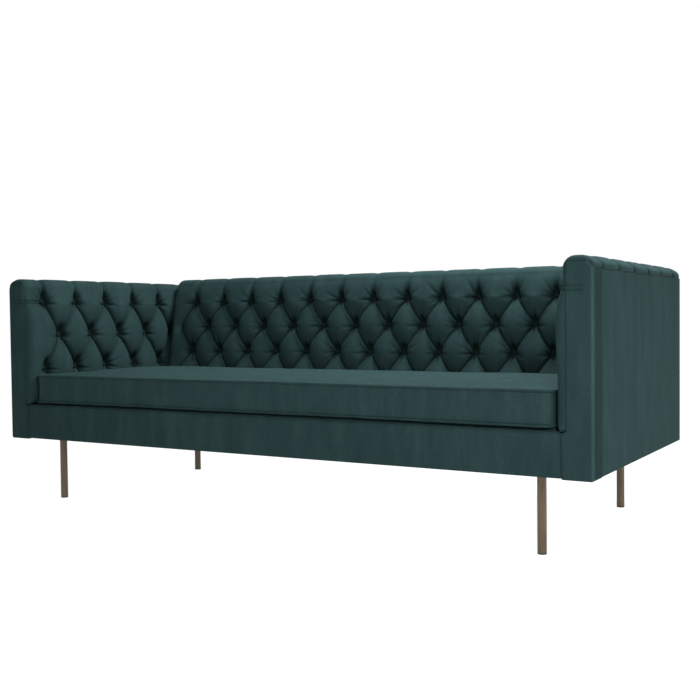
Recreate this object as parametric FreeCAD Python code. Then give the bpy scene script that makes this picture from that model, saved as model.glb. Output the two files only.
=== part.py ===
"""Three-seater sofa with deep-buttoned arms and back, one loose bench cushion and tube legs.

The sofa is built as it comes apart on a bench: a timber base with zigzag springs, two
upholstered arm units bolted to its sides, a back unit standing between them, a loose seat
cushion, and four legs screwed up into corner blocks.

Frame: millimetres, +X to the sitter's left seen from the front (right in a front view),
+Y to the rear, +Z up. The origin is on the floor, under the middle of the sofa.
"""
import FreeCAD
import Part

import math
import os

V = FreeCAD.Vector

# Overall sizes
overall_width = 2100.0
overall_depth = 930.0
leg_clearance = 216.0       # floor to the underside of the base
base_height = 117.0         # underside to the top of the front border
arm_height = 771.0          # floor to the top of the arms
back_rise = 19.0            # top of the back over the arms

# Sheet, board and timber
cover_thick = 4.0           # velvet with a thin batting, stretched over a board
front_pad = 14.0            # padded front panels
dust_thick = 1.5            # black cloth under the base
board_thick = 5.0           # hardboard linings
timber = 27.0               # arm frame, uprights and cross rails
rail_thick = 32.0           # base rails
rail_height = 100.0
post_width = 60.0           # arm posts and arm top rails
fit_gap = 0.3               # running clearance between soft faces
pad_foot_gap = 1.0          # arm pads over the border
roll_ease = 2.0             # a cover's inner bend is this much tighter than the foam under it
back_foot_gap = 12.0        # back pad over the base rails and the spring clips
lip_depth = 11.0            # border's lip on the front rail
lip_nose = 12.0             # rounding along the border's top edge
cross_drop = 20.0           # cross rails under the springs
board_drop = 12.0           # outer boards under the frame's top
upright_seat = 14.0         # uprights on the spring rail

# Arms
arm_foam = 18.0
arm_roll_radius = 14.0      # foam corner under the top roll
top_padding = 16.0          # roll on top of the arms and the back
seam_drop = 28.0            # outside seam below the top
seam_gap = 0.5              # between the two covers at that seam
outer_roll_radius = 6.0
arm_base_width = 79.0       # front panel beside the base border
panel_edge = 6.0            # rounding of a front panel's edge
panel_return = 76.0         # front panel's strip on the outside, measured from the front face

# Back
back_recline = 10.0         # degrees
back_foot_depth = 198.5     # rear face to the board of the back, at its foot
back_foam = 20.0
back_uprights_count = 4
back_roll_radius = 16.0
side_clearance = 2.0        # back unit to the arm pads

# Deep buttoning
tuft_height = 38.0          # crown of a full diamond over its buttons
pleat_floor = 3.0           # cover at the bottom of a button pit
pit_width = 20.0
pit_height = 18.0
button_radius = 8.5
button_dome = 6.0
arm_row_drop = 77.0         # top of the arms to the top buttons
arm_row_rise = 28.0         # plain foot of the pads to the lowest buttons
arm_rows = 3
arm_columns = 6
arm_front_margin = 87.0     # front face to the first button
arm_rear_margin = 98.0     # rear face to the last button
back_row_drop = 98.0
back_row_rise = 70.0
back_rows = 3               # rows above the cushion
back_columns = 13
back_end_margin = 118.0     # end of the back to its first button

# Seat
cushion_edge = 85.0         # boxing height with both welts
cushion_crown = 16.0
crown_inset = 190.0         # seam to the flat of the crown
cushion_front_step = 12.0   # cushion behind the front face
cushion_rear_gap = 13.0     # cushion to the plain foot of the back pad
cushion_end_gap = 6.0       # cushion to the plain foot of each arm pad
cushion_corner = 24.0
cushion_draw_front = 5.0    # sides pull in between the corners
cushion_draw_end = 4.0
cushion_cloth = 2.0
welt_radius = 4.0
butt_gap = 0.8              # joint in each welt, at the rear
seam_bevel = 10.0           # edge that the welt lies on
zip_end_margin = 247.0      # end of the cushion to the end of its zip
zip_tape = 24.0
zip_tape_thick = 1.5
zip_slider_length = 14.0
zip_slider_thick = 5.0
zip_slider_width = 12.0
zip_tab_length = 24.0
deck_pad = 14.0
flat_pad = 38.0             # arm pad behind the cushion
back_flat_pad = 30.0        # back pad behind the cushion
tuck_rise = 2.6             # top of the boxing to where the pads' plain foot ends

# Springs
spring_count = 12
spring_wire = 2.1           # radius
spring_bends = 17
spring_half_run = 9.0       # straight half of each cross run
spring_tail = 14.0          # end of the wire past the run, in its clip
clip_sheet = 1.5
clip_width = 14.0
clip_tongue = 6.0           # foot of a clip past its curl

# Legs
leg_radius = 12.5
leg_wall = 2.0
leg_plug = 25.0             # solid top of each tube
leg_inset_side = 163.0
leg_inset_front = 85.0
leg_inset_rear = 114.0
leg_plate = 62.0
leg_plate_thick = 3.0
leg_plate_corner = 6.0
leg_bolt_radius = 4.0
leg_bolt_up = 32.0          # bolt in the block
leg_bolt_down = 18.0        # bolt in the leg
glide_foot = 4.0
glide_plug = 14.0
block_length = 150.0
block_width = 120.0
block_height = 40.0

# Frame bolts
bolt_radius = 4.0
bolt_clearance = 0.4
bolt_head_radius = 7.5
bolt_head = 5.5
bolt_margin = 50.0          # from the block and the spring rail to the bolts
bracket_leg = 40.0
bracket_sheet = 3.0
bracket_width = 28.0

# Places worked out from the sizes above
back_height = arm_height + back_rise
half_width = overall_width / 2
front_face = -overall_depth / 2
rear_face = overall_depth / 2
underside = leg_clearance
frame_bottom = underside + dust_thick + 0.5
rail_top = frame_bottom + rail_height
border_top = underside + base_height
frame_front = front_face + front_pad
board_rear = rear_face - cover_thick
frame_rear = board_rear - board_thick

arm_cover_in = half_width - cover_thick          # outside board's face
arm_frame_out = arm_cover_in - board_thick
arm_frame_in = arm_frame_out - timber
arm_board_in = arm_frame_in - board_thick
arm_foam_in = arm_board_in - arm_foam
arm_frame_top = arm_height - top_padding
arm_pad_foot = border_top + pad_foot_gap
arm_plain_face = arm_foam_in - fit_gap - flat_pad
arm_crown_face = arm_foam_in - fit_gap - pleat_floor - tuft_height

back_half = arm_crown_face - side_clearance
back_frame_top = back_height - top_padding
back_foot = rail_top + back_foot_gap
recline = math.radians(back_recline)
back_board_foot = rear_face - back_foot_depth    # front face of the board at its foot

clip_outer = spring_wire + fit_gap + clip_sheet
wire_level = rail_top + clip_outer
deck_bottom = wire_level + clip_outer + fit_gap
deck_top = deck_bottom + deck_pad
welt_sink = (seam_bevel / math.sqrt(2) - welt_radius - fit_gap) / math.sqrt(2)
cushion_bottom = deck_top + fit_gap + welt_radius - welt_sink
cushion_top = cushion_bottom + cushion_edge
tuck_level = cushion_top + tuck_rise             # pads are plain below, where the cushion presses
cushion_half = arm_plain_face - cushion_end_gap
zip_half = cushion_half - zip_end_margin
cushion_front = front_face + cushion_front_step
back_pad_foot = back_board_foot - (back_foam + fit_gap + back_flat_pad) / math.cos(recline)
cushion_rear = back_pad_foot + (cushion_bottom - back_foot) * math.tan(recline) - cushion_rear_gap
lip_rear = frame_front + lip_depth
seat_rail_rear = back_board_foot + board_thick + upright_seat
seat_rail_front = seat_rail_rear - rail_thick
leg_top = frame_bottom - leg_plate_thick


def row_levels(top, low, rows):
    """Levels of the button rows, evenly spaced, from the top row down."""
    return [top - (top - low) * k / (rows - 1) for k in range(rows)]


arm_row_levels = row_levels(arm_height - arm_row_drop, tuck_level + arm_row_rise, arm_rows)
back_row_levels = row_levels(back_height - back_row_drop, tuck_level + back_row_rise, back_rows)


def save(shape, name):
    """Writes one piece, or a group of equal pieces, to parts/NAME.step."""
    shape.exportStep(os.path.join("parts", name + ".step"))
    row = (name, len(shape.Solids), shape.Volume, shape.isValid())
    print("%-28s solids %3d  volume %12.0f  valid %s" % row)


def save_pair(shape, name):
    """A right-hand piece and its mirror image at the left."""
    save(shape, name + "_right")
    save(shape.mirror(V(0, 0, 0), V(1, 0, 0)), name + "_left")


def bar(x0, x1, y0, y1, z0, z1):
    """A straight piece of timber, board or sheet between two corners."""
    return Part.makeBox(x1 - x0, y1 - y0, z1 - z0, V(x0, y0, z0))


def outline(points):
    """A closed face through points, with straight sides."""
    return Part.Face(Part.makePolygon(list(points) + [points[0]]))


def rod(radius, start, end):
    """A round bar from start to end."""
    along = end - start
    return Part.makeCylinder(radius, along.Length, start, along)


def group(shapes):
    return Part.makeCompound(shapes)


# Padded covers with deep buttoning
class Jacket:
    """The line that a padded cover follows in a cross-section: up the face, over, down outside.

    foot is the lowest point of the face, lean its slope from upright, top the level of the frame's
    top, back the depth of the outside board, seam the level of the outside seam. Points are
    (depth, level), with depth growing away from the sitter.
    """

    def __init__(self, foot, lean, top, back, seam, roll, outer_roll):
        self.foot = foot
        self.up = (math.sin(lean), math.cos(lean))
        self.out = (-math.cos(lean), math.sin(lean))
        self.lean = lean
        self.top = top
        self.back = back
        self.seam = seam
        self.roll = roll
        self.outer_roll = outer_roll
        turn = math.pi / 2 - lean
        corner = foot[0] + (top - foot[1]) * math.tan(lean)
        cut = roll * math.tan(turn / 2)
        self.roll_start = top - cut * math.cos(lean)
        self.roll_centre = (corner + cut, top - roll)
        self.outer_centre = (back - outer_roll, top - outer_roll)

    def face(self, level):
        """Point on the face at a level, with the normal towards the sitter."""
        return (self.foot[0] + (level - self.foot[1]) * math.tan(self.lean), level), self.out

    def over(self, share):
        """Point on the top roll, share 0 at the face and 1 on top."""
        angle = math.pi - self.lean - share * (math.pi / 2 - self.lean)
        normal = (math.cos(angle), math.sin(angle))
        x = self.roll_centre[0] + self.roll * normal[0]
        return (x, self.roll_centre[1] + self.roll * normal[1]), normal

    def outside(self, share):
        """Point on the outer corner, share 0 on top and 1 on the outside face."""
        angle = (1 - share) * math.pi / 2
        normal = (math.cos(angle), math.sin(angle))
        x = self.outer_centre[0] + self.outer_roll * normal[0]
        return (x, self.outer_centre[1] + self.outer_roll * normal[1]), normal

    def flap(self):
        """The lower edge of the cover outside, at the seam."""
        return (self.back, self.seam), (1.0, 0.0)


class Lattice:
    """Button places along a pad: columns of even rows, with odd rows half a pitch on."""

    def __init__(self, start, end, first, last, columns):
        self.start = start
        self.end = end
        self.columns = columns
        self.pitch = (last - first) / (columns - 1)
        self.even = [first + k * self.pitch for k in range(columns)]
        self.odd = [u + self.pitch / 2 for u in self.even[:-1]]


def station(spot, share, floor, crown, edge, lift=1.0):
    """One cross-section: share 0 has its pits on even columns, 1 on odd columns. floor is the depth
    of the pleats, crown the height of a full diamond, edge the height at the pad's ends, lift the
    share of a pit's width that stays open."""
    point, normal = spot
    return {"point": point, "normal": normal, "share": share, "floor": floor, "crown": crown,
            "edge": edge, "lift": lift}


def buttoned_stations(jacket, levels, next_row, foot_pad, plain_pad, shoulder):
    """Sections of a buttoned cover from its foot, up through its rows, over the top to the seam."""
    full = tuft_height
    sections = [station(jacket.face(jacket.foot[1]), 0, plain_pad, 0, plain_pad),
                station(jacket.face(foot_pad), next_row[1], plain_pad, 0, plain_pad)]
    low = levels[-1] - pit_height / 2
    for part in (0.66, 0.33):
        level = low + (foot_pad - low) * part
        share = next_row[1] * part
        floor = pleat_floor + (plain_pad - pleat_floor) * part ** 2
        crown = full * (1 - part ** 2)
        sections.append(station(jacket.face(level), share, floor, crown, plain_pad * 0.9))
    for number in range(len(levels) - 1, -1, -1):
        odd = number % 2
        edge = full * (0.93 if number else 0.5)
        for side in (-1, 1):
            level = levels[number] + side * pit_height / 2
            sections.append(station(jacket.face(level), odd, pleat_floor, full, edge))
        if number:
            gap = levels[number - 1] - levels[number] - pit_height
            for part in (0.25, 0.5, 0.75):
                level = levels[number] + pit_height / 2 + gap * part
                share = odd + (1 - 2 * odd) * part
                pulled = 0.43 * part ** 2 if number == 1 else 0.0
                edge = full * (0.93 - pulled)
                sections.append(station(jacket.face(level), share, pleat_floor, full, edge))
    flat = top_padding - fit_gap
    thin = cover_thick - fit_gap
    rolled = ((0.0, 0.5, 1.15), (0.33, 0.57, 0.83), (0.67, 0.7, 0.45), (1.0, 0.77, 0.23))
    for (share, floor, crown), edge in zip(rolled, shoulder):
        sections.append(station(jacket.over(share), 0, flat * floor, flat * crown, flat * edge, 0.5))
    sections.append(station(jacket.outside(0.0), 0, flat * 0.77, flat * 0.23, flat, 0.4))
    sections.append(station(jacket.outside(0.5), 0, thin + 2.0, 0.9, thin + 3.0, 0.3))
    sections.append(station(jacket.outside(1.0), 0, thin, 0, thin, 0.3))
    sections.append(station(jacket.flap(), 0, thin, 0, thin, 0.3))
    return sections


def strip_edges(lattice, section):
    """The section's outer line as (start, middle or None, end) in (along, height): straight where
    there is no middle. Strips alternate between even and odd columns, and the two outer strips run
    to the pad's ends."""
    share = section["share"]
    floor = section["floor"]
    narrow = pit_width * section["lift"]
    wide = narrow + (lattice.pitch - narrow - pit_width) * share
    even_crown = section["crown"] * math.sin(share * math.pi / 2)
    odd_crown = section["crown"] * math.cos(share * math.pi / 2)
    first, last = lattice.even[0], lattice.even[-1]
    shoulder = floor + even_crown

    def arch(a, b, crown):
        middle = ((a + b) / 2, floor + crown) if crown > 0.5 else None
        return (a, floor), middle, (b, floor)

    def half_arch(peak, valley, crown):
        """A quarter of a hump, level at the peak and down to the floor at the valley."""
        if crown <= 0.5:
            return (peak, floor), None, (valley, floor)
        run = valley - peak
        radius = (run * run + crown * crown) / (2 * crown)
        drop = radius - math.sqrt(radius * radius - run * run / 4)
        return (peak, floor + crown), (peak + run / 2, floor + crown - drop), (valley, floor)

    strips = [((lattice.start, section["edge"]), None, (first - narrow / 2, shoulder)),
              half_arch(first - narrow / 2, first + wide / 2, even_crown)]
    for k in range(lattice.columns - 1):
        strips.append(arch(lattice.even[k] + wide / 2, lattice.even[k + 1] - wide / 2, odd_crown))
        if k < lattice.columns - 2:
            middle = lattice.even[k + 1]
            strips.append(arch(middle - wide / 2, middle + wide / 2, even_crown))
    end = half_arch(last + narrow / 2, last - wide / 2, even_crown)
    strips.append((end[2], end[1], end[0]))
    strips.append(((last + narrow / 2, shoulder), None, (lattice.end, section["edge"])))
    return strips


def section_wire(lattice, section, place):
    """The closed line of one section: the buttoned outside, the two ends and the flat inside."""
    def at(along, height):
        depth = section["point"][0] + section["normal"][0] * height
        level = section["point"][1] + section["normal"][1] * height
        return place(along, depth, level)

    edges = []
    for start, middle, end in strip_edges(lattice, section):
        if middle is None:
            edges.append(Part.makeLine(at(*start), at(*end)))
        else:
            edges.append(Part.Arc(at(*start), at(*middle), at(*end)).toShape())
    edge = section["edge"]
    edges.append(Part.makeLine(at(lattice.end, edge), at(lattice.end, 0)))
    edges.append(Part.makeLine(at(lattice.end, 0), at(lattice.start, 0)))
    edges.append(Part.makeLine(at(lattice.start, 0), at(lattice.start, edge)))
    return Part.Wire(edges)


def buttoned_cover(lattice, sections, place):
    """A padded cover with diamonds: a ruled loft through its sections."""
    wires = [section_wire(lattice, section, place) for section in sections]
    cover = Part.makeLoft(wires, True, True)
    return cover if cover.Volume > 0 else cover.reversed()


def buttons(lattice, jacket, levels, place):
    """Cloth-covered domes, one in the bottom of each pit."""
    sphere = (button_radius ** 2 + button_dome ** 2) / (2 * button_dome)
    half_rim = math.asin(button_radius / sphere) / 2
    bend = V(sphere * math.sin(half_rim), 0, button_dome - sphere * (1 - math.cos(half_rim)))
    tip = V(0, 0, button_dome)
    rim = V(button_radius, 0, 0)
    profile = [Part.makeLine(V(0, 0, 0), rim), Part.Arc(rim, bend, tip).toShape(),
               Part.makeLine(tip, V(0, 0, 0))]
    dome = Part.Face(Part.Wire(profile)).revolve(V(0, 0, 0), V(0, 0, 1), 360)
    seat = pleat_floor + fit_gap / 3
    made = []
    for number, level in enumerate(levels):
        point, normal = jacket.face(level)
        axis = place(0, normal[0], normal[1])
        for along in (lattice.odd if number % 2 else lattice.even):
            button = dome.copy()
            foot = place(along, point[0] + normal[0] * seat, point[1] + normal[1] * seat)
            button.Placement = FreeCAD.Placement(foot, FreeCAD.Rotation(V(0, 0, 1), axis))
            made.append(button)
    return group(made)


def arm_place(along, depth, level):
    return V(depth, along, level)


def back_place(along, depth, level):
    return V(along, depth, level)


arm_jacket = Jacket((arm_foam_in - fit_gap, arm_pad_foot), 0.0, arm_frame_top + fit_gap,
                    arm_cover_in + fit_gap, arm_height - seam_drop, arm_roll_radius - roll_ease,
                    outer_roll_radius)
arm_lattice = Lattice(frame_front + fit_gap, board_rear - fit_gap, front_face + arm_front_margin,
                      rear_face - arm_rear_margin, arm_columns)
arm_shoulder = (0.9, 0.75, 0.75, 0.95)
arm_sections = buttoned_stations(arm_jacket, arm_row_levels, (0, 0), tuck_level, flat_pad,
                                 arm_shoulder)

foam_step = (back_foam + fit_gap) / math.cos(recline)
back_jacket = Jacket((back_board_foot - foam_step, back_foot), recline, back_frame_top + fit_gap,
                     board_rear + fit_gap, back_height - seam_drop, back_roll_radius - roll_ease,
                     outer_roll_radius)
back_lattice = Lattice(-back_half, back_half, -back_half + back_end_margin,
                       back_half - back_end_margin, back_columns)
hidden_row = back_row_rise / (back_row_levels[0] - back_row_levels[1])
back_shoulder = (1.3, 1.1, 1.0, 1.0)
back_sections = buttoned_stations(back_jacket, back_row_levels, (1, hidden_row), tuck_level,
                                  back_flat_pad, back_shoulder)


# Base
def bolt_places():
    """(y, z) of the bolts that hold an arm to the base."""
    z_low, z_high = frame_bottom + rail_height * 0.3, frame_bottom + rail_height * 0.7
    y_front = frame_front + rail_thick + block_width + bolt_margin
    y_rear = seat_rail_front - bolt_margin
    return [(y_front, z_low), (y_front, z_high), (y_rear, z_low), (y_rear, z_high)]


def drilled(piece, radius, holes):
    """A piece with round holes, each given as (start, end)."""
    return piece.cut(group([rod(radius, start, end) for start, end in holes]))


def base_rails():
    side_in = arm_frame_in - rail_thick
    save(bar(-arm_frame_in, arm_frame_in, frame_front, frame_front + rail_thick, frame_bottom, rail_top),
         "base_front_rail")
    save(bar(-arm_frame_in, arm_frame_in, frame_rear - rail_thick, frame_rear, frame_bottom, rail_top),
         "base_back_rail")
    save(bar(-side_in, side_in, seat_rail_front, seat_rail_rear, frame_bottom, rail_top),
         "base_spring_rail")
    side = bar(side_in, arm_frame_in, frame_front + rail_thick, frame_rear - rail_thick,
               frame_bottom, rail_top)
    holes = [(V(side_in - 1, y, z), V(arm_frame_in + 1, y, z)) for y, z in bolt_places()]
    save_pair(drilled(side, bolt_radius + bolt_clearance, holes), "base_side_rail")
    cross = []
    for x in (-side_in / 3, side_in / 3):
        cross.append(bar(x - timber / 2, x + timber / 2, frame_front + rail_thick, seat_rail_front,
                         frame_bottom, rail_top - cross_drop))
    save(group(cross), "base_cross_rails")


def base_front_border():
    """Padded border over the front rail, with a lip on top that stops the cushion's deck."""
    end = half_width - arm_base_width
    low = rail_top + fit_gap
    inner = frame_front - fit_gap
    cut = lip_nose * (1 - math.sqrt(0.5))
    bend = V(-end, front_face + cut, border_top - cut)
    start = V(-end, front_face, border_top - lip_nose)
    stop = V(-end, front_face + lip_nose, border_top)
    rest = [stop, V(-end, lip_rear, border_top), V(-end, lip_rear, low), V(-end, inner, low),
            V(-end, inner, underside), V(-end, front_face, underside), start]
    edges = [Part.Arc(start, bend, stop).toShape()]
    edges += [Part.makeLine(p, q) for p, q in zip(rest, rest[1:])]
    save(Part.Face(Part.Wire(edges)).extrude(V(2 * end, 0, 0)), "base_front_border")


def leg_places():
    x = half_width - leg_inset_side
    front = front_face + leg_inset_front
    rear = rear_face - leg_inset_rear
    return {"front_left": (-x, front), "front_right": (x, front), "rear_left": (-x, rear),
            "rear_right": (x, rear)}


def corner_blocks():
    """Blocks glued into the corners of the base, each drilled for a leg bolt."""
    side_in = arm_frame_in - rail_thick
    made = []
    for x, y in leg_places().values():
        x0, x1 = (side_in - block_length, side_in) if x > 0 else (-side_in, -side_in + block_length)
        front = frame_front + rail_thick
        rear = frame_rear - rail_thick
        y0, y1 = (front, front + block_width) if y < 0 else (rear - block_width, rear)
        block = bar(x0, x1, y0, y1, frame_bottom, frame_bottom + block_height)
        made.append(drilled(block, leg_bolt_radius + fit_gap,
                            [(V(x, y, frame_bottom - 1), V(x, y, frame_bottom + leg_bolt_up + 1))]))
    save(group(made), "corner_blocks")


def legs():
    """Tubes with a solid tapped top, a bolt, a plate under the block and a push-in glide."""
    bore = leg_radius - leg_wall
    tap = leg_bolt_radius + fit_gap / 3
    tap_end = leg_top - leg_bolt_down - 2
    profile = [V(bore, 0, glide_foot), V(leg_radius, 0, glide_foot), V(leg_radius, 0, leg_top),
               V(tap, 0, leg_top), V(tap, 0, tap_end), V(0, 0, tap_end),
               V(0, 0, leg_top - leg_plug), V(bore, 0, leg_top - leg_plug)]
    tube = outline(profile).revolve(V(0, 0, 0), V(0, 0, 1), 360)
    fit = bore - 0.1
    lead = 0.8
    foot = [V(0, 0, 0), V(leg_radius - lead, 0, 0), V(leg_radius, 0, lead),
            V(leg_radius, 0, glide_foot), V(fit, 0, glide_foot),
            V(fit, 0, glide_foot + glide_plug - 2), V(fit - 2, 0, glide_foot + glide_plug),
            V(0, 0, glide_foot + glide_plug)]
    glide = outline(foot).revolve(V(0, 0, 0), V(0, 0, 1), 360)
    half = leg_plate / 2
    plate = bar(-half, half, -half, half, leg_top, frame_bottom)
    upright = [e for e in plate.Edges if abs(e.tangentAt(e.FirstParameter).z) > 0.9]
    plate = plate.makeFillet(leg_plate_corner, upright)
    plate = drilled(plate, leg_bolt_radius + fit_gap,
                    [(V(0, 0, leg_top - 1), V(0, 0, frame_bottom + 1))])
    bolt = rod(leg_bolt_radius, V(0, 0, leg_top - leg_bolt_down),
               V(0, 0, frame_bottom + leg_bolt_up))
    bolts, plates, glides = [], [], []
    for name, (x, y) in leg_places().items():
        spot = V(x, y, 0)
        save(tube.translated(spot), "leg_" + name)
        bolts.append(bolt.translated(spot))
        plates.append(plate.translated(spot))
        glides.append(glide.translated(spot))
    save(group(bolts), "leg_bolts")
    save(group(plates), "leg_plates")
    save(group(glides), "leg_glides")


def dust_cover():
    """Black cloth under the base, cut out round the leg plates."""
    sheet = bar(-arm_frame_out, arm_frame_out, frame_front, frame_rear, frame_bottom - dust_thick,
                frame_bottom)
    room = leg_plate / 2 + 3
    holes = [bar(x - room, x + room, y - room, y + room, frame_bottom - 2 * dust_thick, frame_bottom + 1)
             for x, y in leg_places().values()]
    save(sheet.cut(group(holes)), "dust_cover")


# Seat springs and deck
def springs():
    """Zigzag wire springs from the front rail to the spring rail, held in rolled clips."""
    y_front = lip_rear + clip_outer + 2
    y_rear = seat_rail_front + clip_outer + 2
    pitch = (y_rear - y_front) / spring_bends
    radius = pitch / 2
    run = spring_half_run
    edges = [Part.makeLine(V(-run - spring_tail, y_front, wire_level), V(run, y_front, wire_level))]
    for bend in range(spring_bends):
        side = 1 if bend % 2 == 0 else -1
        y = y_front + bend * pitch
        turn = V(side * (run + radius), y + radius, wire_level)
        edges.append(Part.Arc(V(side * run, y, wire_level), turn,
                              V(side * run, y + pitch, wire_level)).toShape())
        end = spring_tail if bend == spring_bends - 1 else 0
        edges.append(Part.makeLine(V(side * run, y + pitch, wire_level),
                                   V(-side * (run + end), y + pitch, wire_level)))
    start = V(-run - spring_tail, y_front, wire_level)
    ring = Part.Wire([Part.makeCircle(spring_wire, start, V(1, 0, 0))])
    wire = Part.Wire(edges).makePipeShell([ring], True, False)
    bore = spring_wire + fit_gap
    made_springs, made_clips = [], []
    margin = cushion_half / spring_count
    last_side = 1 if (spring_bends - 1) % 2 == 0 else -1
    for number in range(spring_count):
        x = -cushion_half + margin * (2 * number + 1)
        made_springs.append(wire.translated(V(x, 0, 0)))
        for y, x0 in ((y_front, -run - spring_tail), (y_rear, -last_side * (run + spring_tail))):
            start = x + (x0 if x0 < 0 else x0 - clip_width)
            curl = Part.makeCylinder(clip_outer, clip_width, V(start, y, wire_level), V(1, 0, 0))
            foot = bar(start, start + clip_width, y - clip_outer, y + clip_outer + clip_tongue,
                       rail_top, rail_top + clip_sheet)
            eye = Part.makeCylinder(bore, clip_width + 2, V(start - 1, y, wire_level), V(1, 0, 0))
            mouth = bar(start - 1, start + clip_width + 1, y, y + 2 * clip_outer,
                        wire_level - bore * 0.4, wire_level + bore * 0.4)
            made_clips.append(curl.fuse(foot).cut(eye).cut(mouth))
    save(group(made_springs), "seat_springs")
    save(group(made_clips), "spring_clips")


def deck():
    """Felt over the springs, and the padded deck that the cushion lies on."""
    felt_bottom = wire_level + spring_wire + fit_gap
    clear = 2 * (clip_outer + clip_tongue)
    save(bar(-cushion_half, cushion_half, lip_rear + clear, seat_rail_front - 2, felt_bottom,
             deck_bottom - 0.1), "spring_felt")
    rear = back_jacket.face(deck_bottom)[0][0] - back_flat_pad / math.cos(recline) - 2
    save(bar(-cushion_half, cushion_half, lip_rear + fit_gap, rear, deck_bottom, deck_top), "deck_pad")


# Arm units
def arm_frame():
    post_top = arm_frame_top - post_width
    post_front = frame_front + post_width
    post_rear = frame_rear - post_width
    save_pair(bar(arm_frame_in, arm_frame_out, frame_front, post_front, frame_bottom, post_top),
              "arm_front_post")
    save_pair(bar(arm_frame_in, arm_frame_out, post_rear, frame_rear, frame_bottom, post_top),
              "arm_rear_post")
    save_pair(bar(arm_frame_in, arm_frame_out, frame_front, frame_rear, post_top, arm_frame_top),
              "arm_top_rail")
    low = bar(arm_frame_in, arm_frame_out, post_front, post_rear, frame_bottom, rail_top)
    holes = [(V(arm_frame_in - 1, y, z), V(arm_frame_out + 1, y, z)) for y, z in bolt_places()]
    save_pair(drilled(low, bolt_radius + bolt_clearance, holes), "arm_bottom_rail")
    save_pair(bar(arm_board_in, arm_frame_in, frame_front, frame_rear, rail_top + 1, arm_frame_top),
              "arm_inner_board")
    save_pair(bar(arm_frame_out, arm_cover_in, frame_front, frame_rear, frame_bottom,
                  arm_frame_top - board_drop), "arm_outer_board")


def arm_bolts():
    """Hex bolts from inside the base into the arms' bottom rails."""
    side_in = arm_frame_in - rail_thick
    made = []
    for y, z in bolt_places():
        hexagon = [V(side_in - bolt_head, y + bolt_head_radius * math.cos(k * math.pi / 3),
                     z + bolt_head_radius * math.sin(k * math.pi / 3)) for k in range(6)]
        head = outline(hexagon).extrude(V(bolt_head, 0, 0))
        shank = rod(bolt_radius, V(side_in, y, z), V(arm_frame_out - 4, y, z))
        bolt = head.fuse(shank)
        made += [bolt, bolt.mirror(V(0, 0, 0), V(1, 0, 0))]
    save(group(made), "arm_bolts")


def arm_padding():
    """Foam on the arm's inner board, rounded under the roll, and the buttoned cover over it."""
    foot = arm_pad_foot
    corner = V(arm_foam_in + arm_roll_radius, frame_front, arm_frame_top - arm_roll_radius)
    start = V(arm_foam_in, frame_front, corner.z)
    end = V(corner.x, frame_front, arm_frame_top)
    bend = corner + V(-math.sqrt(0.5), 0, math.sqrt(0.5)) * arm_roll_radius
    low_in = V(arm_foam_in, frame_front, foot)
    low_out = V(arm_board_in, frame_front, foot)
    high_out = V(arm_board_in, frame_front, arm_frame_top)
    loop = [Part.makeLine(low_in, start), Part.Arc(start, bend, end).toShape(),
            Part.makeLine(end, high_out), Part.makeLine(high_out, low_out),
            Part.makeLine(low_out, low_in)]
    save_pair(Part.Face(Part.Wire(loop)).extrude(V(0, frame_rear - frame_front, 0)), "arm_foam")
    save_pair(buttoned_cover(arm_lattice, arm_sections, arm_place), "arm_buttoned_cover")
    save_pair(buttons(arm_lattice, arm_jacket, arm_row_levels, arm_place), "arm_buttons")


def arm_end_outline(inset, y, foot, step):
    """An end of an arm: the pad's end line up the inside and over the top, then straight down outside.
    Below the level step the inner side stands at foot."""
    points = [V(foot + inset, y, underside)]
    if step > underside:
        points.append(V(foot + inset, y, step))
    for section in arm_sections[:-1]:
        height = section["edge"] - inset
        level = section["point"][1] + section["normal"][1] * height
        points.append(V(section["point"][0] + section["normal"][0] * height, y, max(level, step + 4)))
    points.append(V(half_width - inset, y, underside))
    return Part.makePolygon(points + [points[0]])


def arm_covers():
    """Padded front panel with a soft edge and a strip round the outer corner, and the outside
    cover that wraps the rear end."""
    edge = panel_edge
    foot = half_width - arm_base_width + fit_gap
    step = border_top + fit_gap
    rounding = ((0, frame_front), (0, front_face + edge), (edge * 0.3, front_face + edge * 0.3),
                (edge, front_face))
    wires = [arm_end_outline(inset, y, foot, step) for inset, y in rounding]
    panel = Part.makeLoft(wires, True, True)
    panel = panel if panel.Volume > 0 else panel.reversed()
    top = arm_height - seam_drop - seam_gap
    seam = front_face + panel_return
    strip = bar(arm_cover_in, half_width, frame_front, seam, underside, top)
    save_pair(panel.fuse(strip).removeSplitter(), "arm_front_panel")
    side = bar(arm_cover_in, half_width, seam + seam_gap, rear_face, underside, top)
    end = Part.Face(arm_end_outline(0, board_rear, arm_plain_face, underside))
    rear = end.extrude(V(0, cover_thick, 0))
    save_pair(side.fuse(rear).removeSplitter(), "arm_outside_cover")


# Back unit
def leaning(x, front, level):
    """A point on a plane that leans with the back: front is its depth at the foot of the back."""
    return V(x, front + (level - back_foot) * math.tan(recline), level)


def upright_profile(x, low, high):
    """An end of a piece behind the inner board: leaning at the front, plumb at the rear."""
    front = back_board_foot + board_thick / math.cos(recline)
    return [leaning(x, front, low), leaning(x, front, high), V(x, frame_rear, high),
            V(x, frame_rear, low)]


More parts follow.
